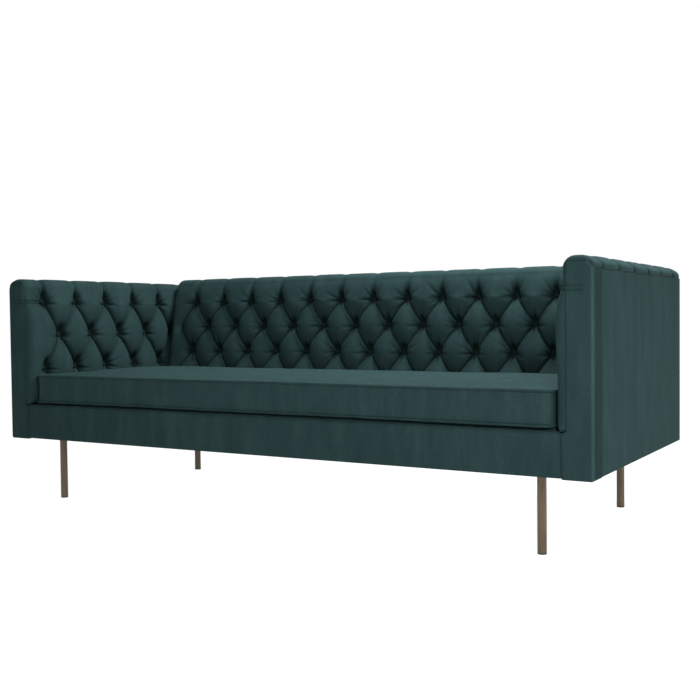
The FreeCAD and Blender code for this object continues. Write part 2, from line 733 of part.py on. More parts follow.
def back_frame():
    uprights, brackets = [], []
    reach = back_half - timber
    upright_top = back_frame_top - timber
    y = frame_rear - rail_thick / 2 - bracket_width / 2
    for number in range(back_uprights_count):
        x = -reach + number * 2 * reach / (back_uprights_count - 1)
        profile = upright_profile(x - timber / 2, rail_top, upright_top)
        uprights.append(outline(profile).extrude(V(timber, 0, 0)))
        side = 1 if x < 0 else -1
        face = x + side * timber / 2
        corners = ((0, 0), (bracket_leg, 0), (bracket_leg, bracket_sheet),
                   (bracket_sheet, bracket_sheet), (bracket_sheet, bracket_leg), (0, bracket_leg))
        angle = [V(face + side * out, y, rail_top + up) for out, up in corners]
        brackets.append(outline(angle).extrude(V(0, bracket_width, 0)))
    save(group(uprights), "back_uprights")
    save(group(brackets), "back_brackets")
    rail = outline(upright_profile(-back_half, upright_top, back_frame_top))
    save(rail.extrude(V(2 * back_half, 0, 0)), "back_top_rail")


def leaning_slab(front, thick, low, high):
    """A slab along the back, leaning with it: front is its front face at the foot of the back."""
    rear = front + thick / math.cos(recline)
    points = [leaning(-back_half, front, low), leaning(-back_half, front, high),
              leaning(-back_half, rear, high), leaning(-back_half, rear, low)]
    return outline(points).extrude(V(2 * back_half, 0, 0))


def back_padding():
    save(leaning_slab(back_board_foot, board_thick, back_foot, back_frame_top), "back_inner_board")
    front = back_board_foot - back_foam / math.cos(recline)
    foam = leaning_slab(front, back_foam, back_foot, back_frame_top)
    nose = [e for e in foam.Edges if abs(e.tangentAt(e.FirstParameter).x) > 0.9
            and e.BoundBox.ZMin > back_frame_top - 1]
    nose.sort(key=lambda e: e.BoundBox.YMin)
    save(foam.makeFillet(back_roll_radius, nose[:1]), "back_foam")
    save(buttoned_cover(back_lattice, back_sections, back_place), "back_buttoned_cover")
    save(buttons(back_lattice, back_jacket, back_row_levels, back_place), "back_buttons")


def back_outside():
    save(bar(-back_half, back_half, frame_rear, board_rear, frame_bottom, back_frame_top - board_drop),
         "back_outer_board")
    save(bar(-back_half, back_half, board_rear, rear_face, underside,
             back_height - seam_drop - seam_gap), "back_outside_cover")


# Seat cushion
def cushion_edges(inset, level, corner):
    """The cushion's outline: corners rounded, the front and the ends pulled in between them."""
    x, front, rear = cushion_half - inset, cushion_front + inset, cushion_rear - inset
    turn_f = 2 * math.atan(2 * cushion_draw_front / (2 * (x - corner)))
    turn_e = 2 * math.atan(2 * cushion_draw_end / (rear - front - 2 * corner))

    def arc(cx, cy, a0, a1):
        turns = (a0, (a0 + a1) / 2, a1)
        spots = [V(cx + corner * math.cos(a), cy + corner * math.sin(a), level) for a in turns]
        return spots, Part.Arc(*spots).toShape()

    quarter = math.pi / 2
    right_front, edge_rf = arc(x - corner, front + corner, -quarter - turn_f, turn_e)
    right_rear, edge_rr = arc(x - corner, rear - corner, -turn_e, quarter)
    left_rear, edge_lr = arc(-x + corner, rear - corner, quarter, 2 * quarter + turn_e)
    left_front, edge_lf = arc(-x + corner, front + corner, 2 * quarter - turn_e, 3 * quarter + turn_f)

    def side(start, end, pull):
        middle = (start + end) * 0.5 + pull
        return Part.Arc(start, middle, end).toShape()

    right = side(right_front[2], right_rear[0], V(-cushion_draw_end, 0, 0))
    back = Part.makeLine(right_rear[2], left_rear[0])
    left = side(left_rear[2], left_front[0], V(cushion_draw_end, 0, 0))
    front_side = side(left_front[2], right_front[0], V(0, cushion_draw_front, 0))
    return [edge_rf, right, edge_rr, back, edge_lr, left, edge_lf, front_side]


def cushion_wire(inset, level, corner):
    return Part.Wire(cushion_edges(inset, level, corner))


def cushion_form(skin):
    """The filled cushion, skin deep inside its cover: bevelled seams, boxing and a crowned top."""
    low, high = cushion_bottom + skin, cushion_top - skin
    corner = cushion_corner - skin
    bevel = seam_bevel
    wires = [cushion_wire(skin + bevel, low, corner - bevel), cushion_wire(skin, low + bevel, corner),
             cushion_wire(skin, high - bevel, corner), cushion_wire(skin + bevel, high, corner - bevel)]
    for share in (0.5, 0.8, 1.0):
        inset = skin + bevel + crown_inset * share ** 2
        level = high + cushion_crown * math.sin(share * math.pi / 2)
        wires.append(cushion_wire(inset, level, corner + inset * 0.2))
    return Part.makeLoft(wires, True, True)


def welt(level, rise):
    """A piping cord sewn into a seam, lying on the bevelled edge, its ends meeting at the rear."""
    edges = cushion_edges(welt_sink, level + rise * welt_sink, cushion_corner - welt_sink)
    rear = edges[3]
    right, left = rear.Vertexes[0].Point, rear.Vertexes[1].Point
    start = (right + left) * 0.5 - V(butt_gap / 2, 0, 0)
    end = (right + left) * 0.5 + V(butt_gap / 2, 0, 0)
    path = Part.Wire([Part.makeLine(start, left)] + edges[4:] + edges[:3] + [Part.makeLine(right, end)])
    ring = Part.Wire([Part.makeCircle(welt_radius, start, V(-1, 0, 0))])
    return path.makePipeShell([ring], True, False)


def seat_cushion():
    save(cushion_form(0).cut(cushion_form(cushion_cloth)), "cushion_cover")
    save(cushion_form(cushion_cloth + fit_gap), "cushion_core")
    save(welt(cushion_top, -1), "cushion_welt_top")
    save(welt(cushion_bottom, 1), "cushion_welt_bottom")
    middle = (cushion_bottom + cushion_top) / 2
    save(bar(-zip_half, zip_half, cushion_rear, cushion_rear + zip_tape_thick, middle - zip_tape / 2,
             middle + zip_tape / 2), "cushion_zip")
    y0 = cushion_rear + zip_tape_thick + fit_gap
    x0 = -zip_half + zip_slider_length
    half = zip_slider_length / 2
    nose, tail = zip_slider_width / 3, zip_slider_width / 2
    body = [V(x0 - half, y0, middle - nose), V(x0 + half, y0, middle - tail),
            V(x0 + half, y0, middle + tail), V(x0 - half, y0, middle + nose)]
    slider = outline(body).extrude(V(0, zip_slider_thick, 0))
    tab = bar(x0 - half - zip_tab_length, x0 - half + zip_slider_thick / 2, y0 + zip_slider_thick * 0.2,
              y0 + zip_slider_thick * 0.6, middle - nose, middle + nose)
    save(slider.fuse(tab), "zip_slider")


def main():
    os.makedirs("parts", exist_ok=True)
    base_rails()
    base_front_border()
    corner_blocks()
    legs()
    dust_cover()
    springs()
    deck()
    arm_frame()
    arm_bolts()
    arm_padding()
    arm_covers()
    back_frame()
    back_padding()
    back_outside()
    seat_cushion()


main()
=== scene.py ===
# %% [markdown]
# # A three-seater sofa in deep-buttoned velvet
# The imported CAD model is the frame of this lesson. Timber, springs, bolts, legs and buttons
# come from it as they are. Every upholstered piece is worked out here as a surface on a grid,
# in metres, in the place that its plain CAD solid holds.

# %% Loading the frame
import math

import bpy
import numpy as np
from mathutils import Matrix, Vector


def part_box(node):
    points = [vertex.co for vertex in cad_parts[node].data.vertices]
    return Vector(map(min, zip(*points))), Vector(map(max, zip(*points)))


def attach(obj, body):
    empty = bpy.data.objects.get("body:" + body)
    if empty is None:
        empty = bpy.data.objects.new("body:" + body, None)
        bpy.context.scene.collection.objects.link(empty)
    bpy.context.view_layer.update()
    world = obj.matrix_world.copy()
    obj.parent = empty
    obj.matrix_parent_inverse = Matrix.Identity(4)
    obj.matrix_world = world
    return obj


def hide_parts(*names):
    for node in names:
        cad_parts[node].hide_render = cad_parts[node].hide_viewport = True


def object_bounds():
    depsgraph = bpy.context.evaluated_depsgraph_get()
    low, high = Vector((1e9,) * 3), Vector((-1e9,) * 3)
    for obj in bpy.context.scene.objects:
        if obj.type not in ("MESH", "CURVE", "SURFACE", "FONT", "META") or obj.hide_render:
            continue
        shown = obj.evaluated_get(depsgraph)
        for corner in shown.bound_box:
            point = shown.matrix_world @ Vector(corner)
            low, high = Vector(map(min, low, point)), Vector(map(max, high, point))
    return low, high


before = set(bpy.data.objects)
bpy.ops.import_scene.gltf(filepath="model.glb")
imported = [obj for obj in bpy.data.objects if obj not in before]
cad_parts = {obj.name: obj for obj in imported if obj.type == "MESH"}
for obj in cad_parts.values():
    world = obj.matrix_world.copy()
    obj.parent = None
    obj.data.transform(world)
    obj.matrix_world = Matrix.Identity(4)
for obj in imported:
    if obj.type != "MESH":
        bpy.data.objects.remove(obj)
cad_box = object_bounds()
print("CAD box", [round(v, 4) for corner in cad_box for v in corner])

# %% [markdown]
# ## Camera
# A product picture like this is taken from about seat height, a few metres off, and turned
# towards one end. The place and turn below were fitted to the feet and corners of the sofa.
# Blender's camera looks along its own -Z axis, so its matrix is built from the three
# directions right, up and backwards.

# %% Camera
picture_pixels = 700
camera_place = (1.7903, -2.8430, 0.6238)
camera_turn = math.radians(31.104)
camera_tilt = math.radians(-1.829)
camera_roll = math.radians(-0.633)
focal_pixels = 987.3
sensor_width = 36.0


def camera_axes(turn, tilt, roll):
    """Right, up and backward directions of a camera that is turned left, tilted up and rolled."""
    level = math.cos(tilt)
    ahead = np.array([-math.sin(turn) * level, math.cos(turn) * level, math.sin(tilt)])
    right = np.array([math.cos(turn), math.sin(turn), 0.0])
    up = np.cross(right, ahead)
    return (math.cos(roll) * right + math.sin(roll) * up,
            math.cos(roll) * up - math.sin(roll) * right, -ahead)


camera_data = bpy.data.cameras.new("camera")
camera_data.sensor_width = sensor_width
camera_data.lens = focal_pixels / picture_pixels * sensor_width
camera = bpy.data.objects.new("camera", camera_data)
bpy.context.scene.collection.objects.link(camera)
camera_matrix = np.eye(4)
camera_matrix[:3, :3] = np.array(camera_axes(camera_turn, camera_tilt, camera_roll)).T
camera_matrix[:3, 3] = camera_place
camera.matrix_world = Matrix(camera_matrix.tolist())
bpy.context.scene.camera = camera
print("camera lens %.1f mm" % camera_data.lens)

# %% [markdown]
# ## Colours and nodes
# Colours are written as sRGB hex values, as a colour picker shows them, and turned to linear
# light by one function. One more function adds a shader node: plain values go to its input
# sockets, and sockets of other nodes are linked to them.

# %% Colour and node helpers


def linear(code):
    """sRGB hex to linear RGBA: v / 12.92 below 0.04045, else ((v + 0.055) / 1.055) to the 2.4."""
    parts = np.array([int(code[i:i + 2], 16) for i in (1, 3, 5)]) / 255
    light = np.where(parts <= 0.04045, parts / 12.92, ((parts + 0.055) / 1.055) ** 2.4)
    return (*light.tolist(), 1.0)


def add(tree, kind, inputs=None, **settings):
    """Adds one node with its settings, and sets or links its inputs by socket name."""
    made = tree.nodes.new(kind)
    for name, value in settings.items():
        setattr(made, name, value)
    for name, value in (inputs or {}).items():
        if isinstance(value, bpy.types.NodeSocket):
            tree.links.new(value, made.inputs[name])
        else:
            made.inputs[name].default_value = value
    return made


def new_material(name):
    """An empty node material, with its tree and its output's surface socket."""
    material = bpy.data.materials.new(name)
    material.use_nodes = True
    material.node_tree.nodes.clear()
    output = add(material.node_tree, "ShaderNodeOutputMaterial")
    return material, material.node_tree, output.inputs["Surface"]


def fill_ramp(ramp, stops):
    """Sets a colour ramp's stops from (place, hex) pairs."""
    elements = ramp.color_ramp.elements
    for number, (place, code) in enumerate(stops):
        element = elements[number] if number < len(elements) else elements.new(place)
        element.position = place
        element.color = linear(code)


MM = 0.001

# %% [markdown]
# ## Velvet
# Cut velvet is a dense upright pile. Seen along the pile it is dark, and light that grazes it
# catches the tips, so edges and faces seen at a slant look paler: that is the shader's sheen.
# Hands and the roll it was wound on leave the pile leaning in patches, which shows as soft
# lighter and darker streaks. The pile itself is under half a millimetre, too fine for the
# picture, so its mottle is drawn at a few millimetres. Where a piece was cut with its pile
# running the other way, the pile points at the eye and looks darker. Light and shade are also
# painted into the colour: painted shade down in the folds and pits, on the buttons and on the
# cushion's top, and painted highlights on pleat edges, an arm's outer corner and the back's top
# roll. A point value from -1 to 1 says where: above 0 darker, below 0 paler.

# %% Velvet
velvet_dark = "#263a3b"
velvet_mid = "#2b3f40"
velvet_light = "#314747"
velvet_sheen = "#7aa5a3"
streak_width = 45 * MM
mottle_width = 4 * MM
streak_weight = 0.58
# How strongly the point value works: painted shade darkens the colour, painted highlights lighten it.
nap_and_painted_light_depth = 0.75


def make_velvet(name, depth):
    """Velvet with its colour times depth, and times 1 - 0.75 nap_and_painted_light."""
    material, tree, surface = new_material(name)
    place = add(tree, "ShaderNodeTexCoord").outputs["Object"]
    streak_place = add(tree, "ShaderNodeMapping", {"Vector": place, "Scale": (1.0, 1.0, 0.22)})
    streaks = add(tree, "ShaderNodeTexNoise", {
        "Vector": streak_place.outputs["Vector"], "Scale": 1 / streak_width, "Detail": 4.0,
        "Roughness": 0.6})
    pile = add(tree, "ShaderNodeTexNoise", {
        "Vector": place, "Scale": 1 / mottle_width, "Detail": 2.0, "Roughness": 0.6})
    mottle = add(tree, "ShaderNodeMath", {0: pile.outputs["Fac"], 1: 1 - streak_weight},
                 operation="MULTIPLY")
    total = add(tree, "ShaderNodeMath", {
        0: streaks.outputs["Fac"], 1: streak_weight, 2: mottle.outputs["Value"]},
        operation="MULTIPLY_ADD")
    ramp = add(tree, "ShaderNodeValToRGB", {"Fac": total.outputs["Value"]})
    fill_ramp(ramp, ((0.34, velvet_dark), (0.5, velvet_mid), (0.66, velvet_light)))
    turned = add(tree, "ShaderNodeAttribute", attribute_name="nap_and_painted_light")
    shade = add(tree, "ShaderNodeMapRange", {
        "Value": turned.outputs["Fac"], "From Min": -1.0,
        "To Min": (1 + nap_and_painted_light_depth) * depth, "To Max": (1 - nap_and_painted_light_depth) * depth})
    tone = add(tree, "ShaderNodeVectorMath", {
        "Vector": ramp.outputs["Color"], "Scale": shade.outputs["Result"]}, operation="SCALE")
    bump = add(tree, "ShaderNodeBump", {
        "Height": pile.outputs["Fac"], "Strength": 0.12, "Distance": 0.6 * MM})
    shader = add(tree, "ShaderNodeBsdfPrincipled", {
        "Base Color": tone.outputs["Vector"], "Roughness": 0.82, "Specular IOR Level": 0.03,
        "Sheen Weight": 0.1, "Sheen Roughness": 0.35, "Sheen Tint": linear(velvet_sheen),
        "Normal": bump.outputs["Normal"]})
    tree.links.new(shader.outputs["BSDF"], surface)
    return material


velvet = make_velvet("cotton_velvet", 1.0)
# The buttons' velvet is 0.4 times as bright: painted shade for the deep pits they sit in.
button_velvet_painted_shade = make_velvet("cotton_velvet_painted_shade_on_buttons", 0.4)
print("made", velvet.name, "and", button_velvet_painted_shade.name)

# %% [markdown]
# ## Antique brass, steel and plastic
# The legs are brass tube, darkened with acid and then brushed along their length. The dark
# skin is an oxide, only partly metallic, so the tube shows light and shade as well as fine
# lengthwise lines and a satin highlight. Springs are drawn wire with a dull oiled skin, and
# bolts, plates and brackets are zinc plated, which leaves faint spangles. The glides are
# moulded plastic with a fine matt grain.

# %% Metals and plastic


def make_brushed_metal(name, dark, light, roughness, line_width, line_length, metallic=1.0):
    """Metal whose colour and roughness follow fine lines along Z, from a stretched noise."""
    material, tree, surface = new_material(name)
    place = add(tree, "ShaderNodeTexCoord").outputs["Object"]
    stretched = add(tree, "ShaderNodeMapping", {
        "Vector": place, "Scale": (1.0, 1.0, line_width / line_length)})
    lines = add(tree, "ShaderNodeTexNoise", {
        "Vector": stretched.outputs["Vector"], "Scale": 1 / line_width, "Detail": 3.0})
    ramp = add(tree, "ShaderNodeValToRGB", {"Fac": lines.outputs["Fac"]})
    fill_ramp(ramp, ((0.3, dark), (0.7, light)))
    gloss = add(tree, "ShaderNodeMapRange", {
        "Value": lines.outputs["Fac"], "To Min": roughness - 0.07, "To Max": roughness + 0.07})
    bump = add(tree, "ShaderNodeBump", {
        "Height": lines.outputs["Fac"], "Strength": 0.06, "Distance": 0.1 * MM})
    shader = add(tree, "ShaderNodeBsdfPrincipled", {
        "Base Color": ramp.outputs["Color"], "Metallic": metallic,
        "Roughness": gloss.outputs["Result"], "Normal": bump.outputs["Normal"]})
    tree.links.new(shader.outputs["BSDF"], surface)
    return material


def make_grained(name, dark, light, roughness, grain, stretch=(1.0, 1.0, 1.0), depth=0.2):
    """A matt material with one grain: a noise sets its colour and its bump. grain is its size."""
    material, tree, surface = new_material(name)
    place = add(tree, "ShaderNodeTexCoord").outputs["Object"]
    stretched = add(tree, "ShaderNodeMapping", {"Vector": place, "Scale": stretch})
    noise = add(tree, "ShaderNodeTexNoise", {
        "Vector": stretched.outputs["Vector"], "Scale": 1 / grain, "Detail": 4.0})
    ramp = add(tree, "ShaderNodeValToRGB", {"Fac": noise.outputs["Fac"]})
    fill_ramp(ramp, ((0.32, dark), (0.68, light)))
    bump = add(tree, "ShaderNodeBump", {
        "Height": noise.outputs["Fac"], "Strength": depth, "Distance": grain / 3})
    shader = add(tree, "ShaderNodeBsdfPrincipled", {
        "Base Color": ramp.outputs["Color"], "Roughness": roughness,
        "Normal": bump.outputs["Normal"]})
    tree.links.new(shader.outputs["BSDF"], surface)
    return material


antique_brass = make_brushed_metal(
    "brushed_antique_brass", "#4b4234", "#75664e", 0.36, 0.8 * MM, 60 * MM, metallic=0.4)
spring_wire = make_brushed_metal("oiled_spring_wire", "#4c4e52", "#6a6c70", 0.42, 1.0 * MM, 12 * MM)
zinc_plate = make_brushed_metal("zinc_plated_steel", "#8f9296", "#b4b7ba", 0.38, 2.0 * MM, 5 * MM)
pine = make_grained("planed_pine", "#b98a55", "#d2aa72", 0.6, 9 * MM, (0.08, 1.0, 1.0))
hardboard = make_grained("pressed_hardboard", "#5a3f2a", "#6f4f35", 0.55, 3 * MM)
foam = make_grained("upholstery_foam", "#d3c08a", "#e2d3a4", 0.9, 2.5 * MM)
black_cloth = make_grained("black_spunbond_cloth", "#0e0e0f", "#1b1b1d", 0.85, 2 * MM)
glide_plastic = make_grained("moulded_nylon", "#151413", "#1f1d1b", 0.5, 0.8 * MM, depth=0.1)
finishes = {"velvet": velvet, "timber": pine, "hardboard": hardboard, "foam": foam,
            "felt": black_cloth, "black_cloth": black_cloth, "spring_steel": spring_wire,
            "zinc_steel": zinc_plate, "antique_brass": antique_brass,
            "glide_plastic": glide_plastic}
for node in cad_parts.values():
    for place in node.material_slots:
        place.material = finishes[place.material.name.split(".")[0]]
for name in ("back_buttons", "arm_buttons_left", "arm_buttons_right"):
    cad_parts[name].material_slots[0].material = button_velvet_painted_shade
print("finishes", len(finishes))

# %% [markdown]
# ## From a grid to a mesh
# A grid of points becomes a mesh of four-sided faces. A tube-like grid closes on itself along
# its second direction, and flat many-sided faces close its two ends. A sheet-like grid is
# closed by one face over its rim. A closed shape whose volume comes out negative is inside
# out, so its faces are turned round.

# %% Mesh helpers


def grid_faces(rows, columns, closed):
    """Corner numbers of the quads between neighbours on a grid numbered row by row."""
    row = np.arange(rows - 1)[:, None]
    column = np.arange(columns if closed else columns - 1)[None, :]
    after = (column + 1) % columns
    corners = (row * columns + column, (row + 1) * columns + column,
               (row + 1) * columns + after, row * columns + after)
    return np.stack(corners, axis=-1).reshape(-1, 4)


def signed_volume(points, quads):
    """Sum over triangles of a . (b x c) / 6."""
    a, b, c, d = (points[quads[:, k]] for k in range(4))
    return np.einsum("ij,ij->", a, np.cross(b, c) + np.cross(c, d)) / 6


def mesh_piece(name, points, quads, caps=(), material=velvet, flip=False):
    """One object from points, quads and a few many-sided caps."""
    loops = [quads.reshape(-1)] + [np.asarray(cap) for cap in caps]
    totals = np.concatenate([np.full(len(quads), 4), [len(cap) for cap in caps]]).astype(int)
    corners = np.concatenate(loops)
    mesh = bpy.data.meshes.new(name)
    mesh.vertices.add(len(points))
    mesh.vertices.foreach_set("co", np.ascontiguousarray(points, np.float32).ravel())
    mesh.loops.add(len(corners))
    mesh.loops.foreach_set("vertex_index", corners.astype(np.int32))
    mesh.polygons.add(len(totals))
    starts = np.concatenate([[0], np.cumsum(totals)[:-1]])
    mesh.polygons.foreach_set("loop_start", starts.astype(np.int32))
    mesh.update(calc_edges=True)
    mesh.validate()
    mesh.shade_smooth()
    for cap in mesh.polygons[len(quads):]:
        cap.use_smooth = False
    if flip:
        mesh.flip_normals()
    mesh.materials.append(material)
    piece = bpy.data.objects.new(name, mesh)
    bpy.context.scene.collection.objects.link(piece)
    return piece


def tube_piece(name, grid, material=velvet):
    """A closed piece from rings of points: grid[ring, step]. The first and last ring get caps."""
    rings, steps = grid.shape[:2]
    points = grid.reshape(-1, 3)
    quads = grid_faces(rings, steps, True)
    first_ring = np.arange(steps)
    caps = [first_ring, (rings - 1) * steps + first_ring[::-1]]
    if signed_volume(points - points.mean(axis=0), quads) < 0:
        quads = quads[:, ::-1]
        caps = [cap[::-1] for cap in caps]
    return mesh_piece(name, points, quads, caps, material)


def sheet_piece(name, grid, material=velvet):
    """A closed piece from one sheet of points and a face over its rim."""
    rows, columns = grid.shape[:2]
    points = grid.reshape(-1, 3)
    number = np.arange(rows * columns).reshape(rows, columns)
    rim = np.concatenate([number[0, :-1], number[:-1, -1], number[-1, :0:-1], number[:0:-1, 0]])
    quads = grid_faces(rows, columns, False)
    if signed_volume(points - points[rim].mean(axis=0), quads) < 0:
        quads = quads[:, ::-1]
        rim = rim[::-1]
    return mesh_piece(name, points, quads, [rim], material)


def paint_nap_and_light(piece, values):
    """Writes for each point how its colour is darkened, up to 1, for turned pile and painted shade, or
    lightened, down to -1, as a painted highlight.
    """
    nap = piece.data.attributes.new("nap_and_painted_light", "FLOAT", "POINT")
    nap.data.foreach_set("value", np.ascontiguousarray(values, np.float32).ravel())


def upholster(piece, body, nodes):
    """The piece rides on a body and stands for CAD nodes, which are hidden."""
    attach(piece, body)
    if nodes:
        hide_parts(*nodes)
    print(piece.name, len(piece.data.polygons), "faces")
    return piece


def smooth_step(value, low, high):
    """0 below low, 1 above high, and 3t^2 - 2t^3 between."""
    share = np.clip((value - low) / (high - low), 0, 1)
    return share * share * (3 - 2 * share)


def quarter_round(distance, radius):
    """Height share near an edge, over the last radius: (1 - (1 - d / r)^2)^0.5."""
    return np.sqrt(np.clip(1 - np.clip(1 - distance / radius, 0, 1) ** 2, 0, 1))


def grid_of(x, y, z):
    """A grid of points from coordinates that spread over one another's rows and columns."""
    return np.stack(np.broadcast_arrays(x, y, z), axis=-1)


def mesh_points(mesh):
    """A mesh's points as an array with one row each."""
    flat = np.empty(len(mesh.vertices) * 3, np.float32)
    mesh.vertices.foreach_get("co", flat)
    return flat.reshape(-1, 3).astype(float)


# %% [markdown]
# ## The line that a cover follows
# Seen from its end, a buttoned cover goes up the face of the foam, rolls over the top and
# comes down outside to a seam. That line is made of straight runs and two arcs. Each of its
# stations has a point, a normal and its distance along the line. The padding's height is laid
# on the normals later, so the same recipe serves the arms and the back.

# %% Cover lines
station_gap = 2.6 * MM


def cover_line(foot, lean, top, outside, seam, roll, outer_roll, tuck):
    """Stations as (points, normals, along): depth and level, from the foot to the outside seam."""
    turn = math.pi / 2 - lean
    corner = foot[0] + (top - foot[1]) * math.tan(lean)
    cut = roll * math.tan(turn / 2)
    face_end = top - cut * math.cos(lean)
    levels = np.concatenate([np.linspace(foot[1], tuck, 8)[:-1],
                             np.arange(tuck, face_end, station_gap)])
    bend = math.pi - lean - np.linspace(0, 1, 14) * turn
    outer_bend = np.linspace(math.pi / 2, 0, 12)
    roll_normal, outer_normal = (
        np.stack([np.cos(angle), np.sin(angle)], axis=1) for angle in (bend, outer_bend))
    flat = np.linspace(corner + cut, outside - outer_roll,
                       max(4, int((outside - corner) / (5 * MM))))[1:-1]
    drop = np.linspace(top - outer_roll, seam, 6)[1:]
    points = np.concatenate([
        np.stack([foot[0] + (levels - foot[1]) * math.tan(lean), levels], axis=1),
        np.array([corner + cut, top - roll]) + roll * roll_normal,
        np.stack([flat, np.full(len(flat), top)], axis=1),
        np.array([outside - outer_roll, top - outer_roll]) + outer_roll * outer_normal,
        np.stack([np.full(len(drop), outside), drop], axis=1)])
    normals = np.concatenate([
        np.tile([-math.cos(lean), math.sin(lean)], (len(levels), 1)), roll_normal,
        np.tile([0.0, 1.0], (len(flat), 1)), outer_normal, np.tile([1.0, 0.0], (len(drop), 1))])
    steps = np.linalg.norm(np.diff(points, axis=0), axis=1)
    return points, normals, np.concatenate([[0], np.cumsum(steps)])


# %% [markdown]
# ## Deep buttoning
# Buttons sit in staggered rows. Between them the cloth is folded into pleats that run from
# button to button, so the padding swells into diamonds. A plain square grid would cut across
# the pleats and leave saw teeth, so this grid follows them: it is made of strips between
# pleats. Strips over the even columns open from nothing at an even row to a whole pitch at
# the odd row below, while the strips between them close. Across a strip the height is a
# half ellipse, which meets its neighbours in a sharp valley.
#
# Cloth drawn to a button also puckers. Lines of equal share across a strip all run to its
# buttons, so a wave across the strip makes a fan of small folds there. A few more folds run
# beside each pleat, where the spare cloth is tucked under.

# %% Buttoning
pit_half_height = 9 * MM
pit_width = 13 * MM
slit_width = 1.6 * MM
pit_floor = 3 * MM
dimple_radius = 26 * MM
tuck_pitch = 6.5 * MM
pleat_top = 0.98
strip_columns = 30
button_rows = 3
creases_round = 9


def row_places(line_along, row_along, step):
    """How far each station is below the top row, in rows: negative above it."""
    return (row_along - line_along) / step


def opening(rows_down):
    """Share of a pitch that an even strip is open: 0 at and above the top row, 1 at odd rows."""
    return np.abs((np.maximum(rows_down, 0) + 1) % 2 - 1)


def strip_shares(count):
    """Shares across a strip, closer together near its two pleats."""
    return (1 - np.cos(np.linspace(0, math.pi, count + 1))) / 2


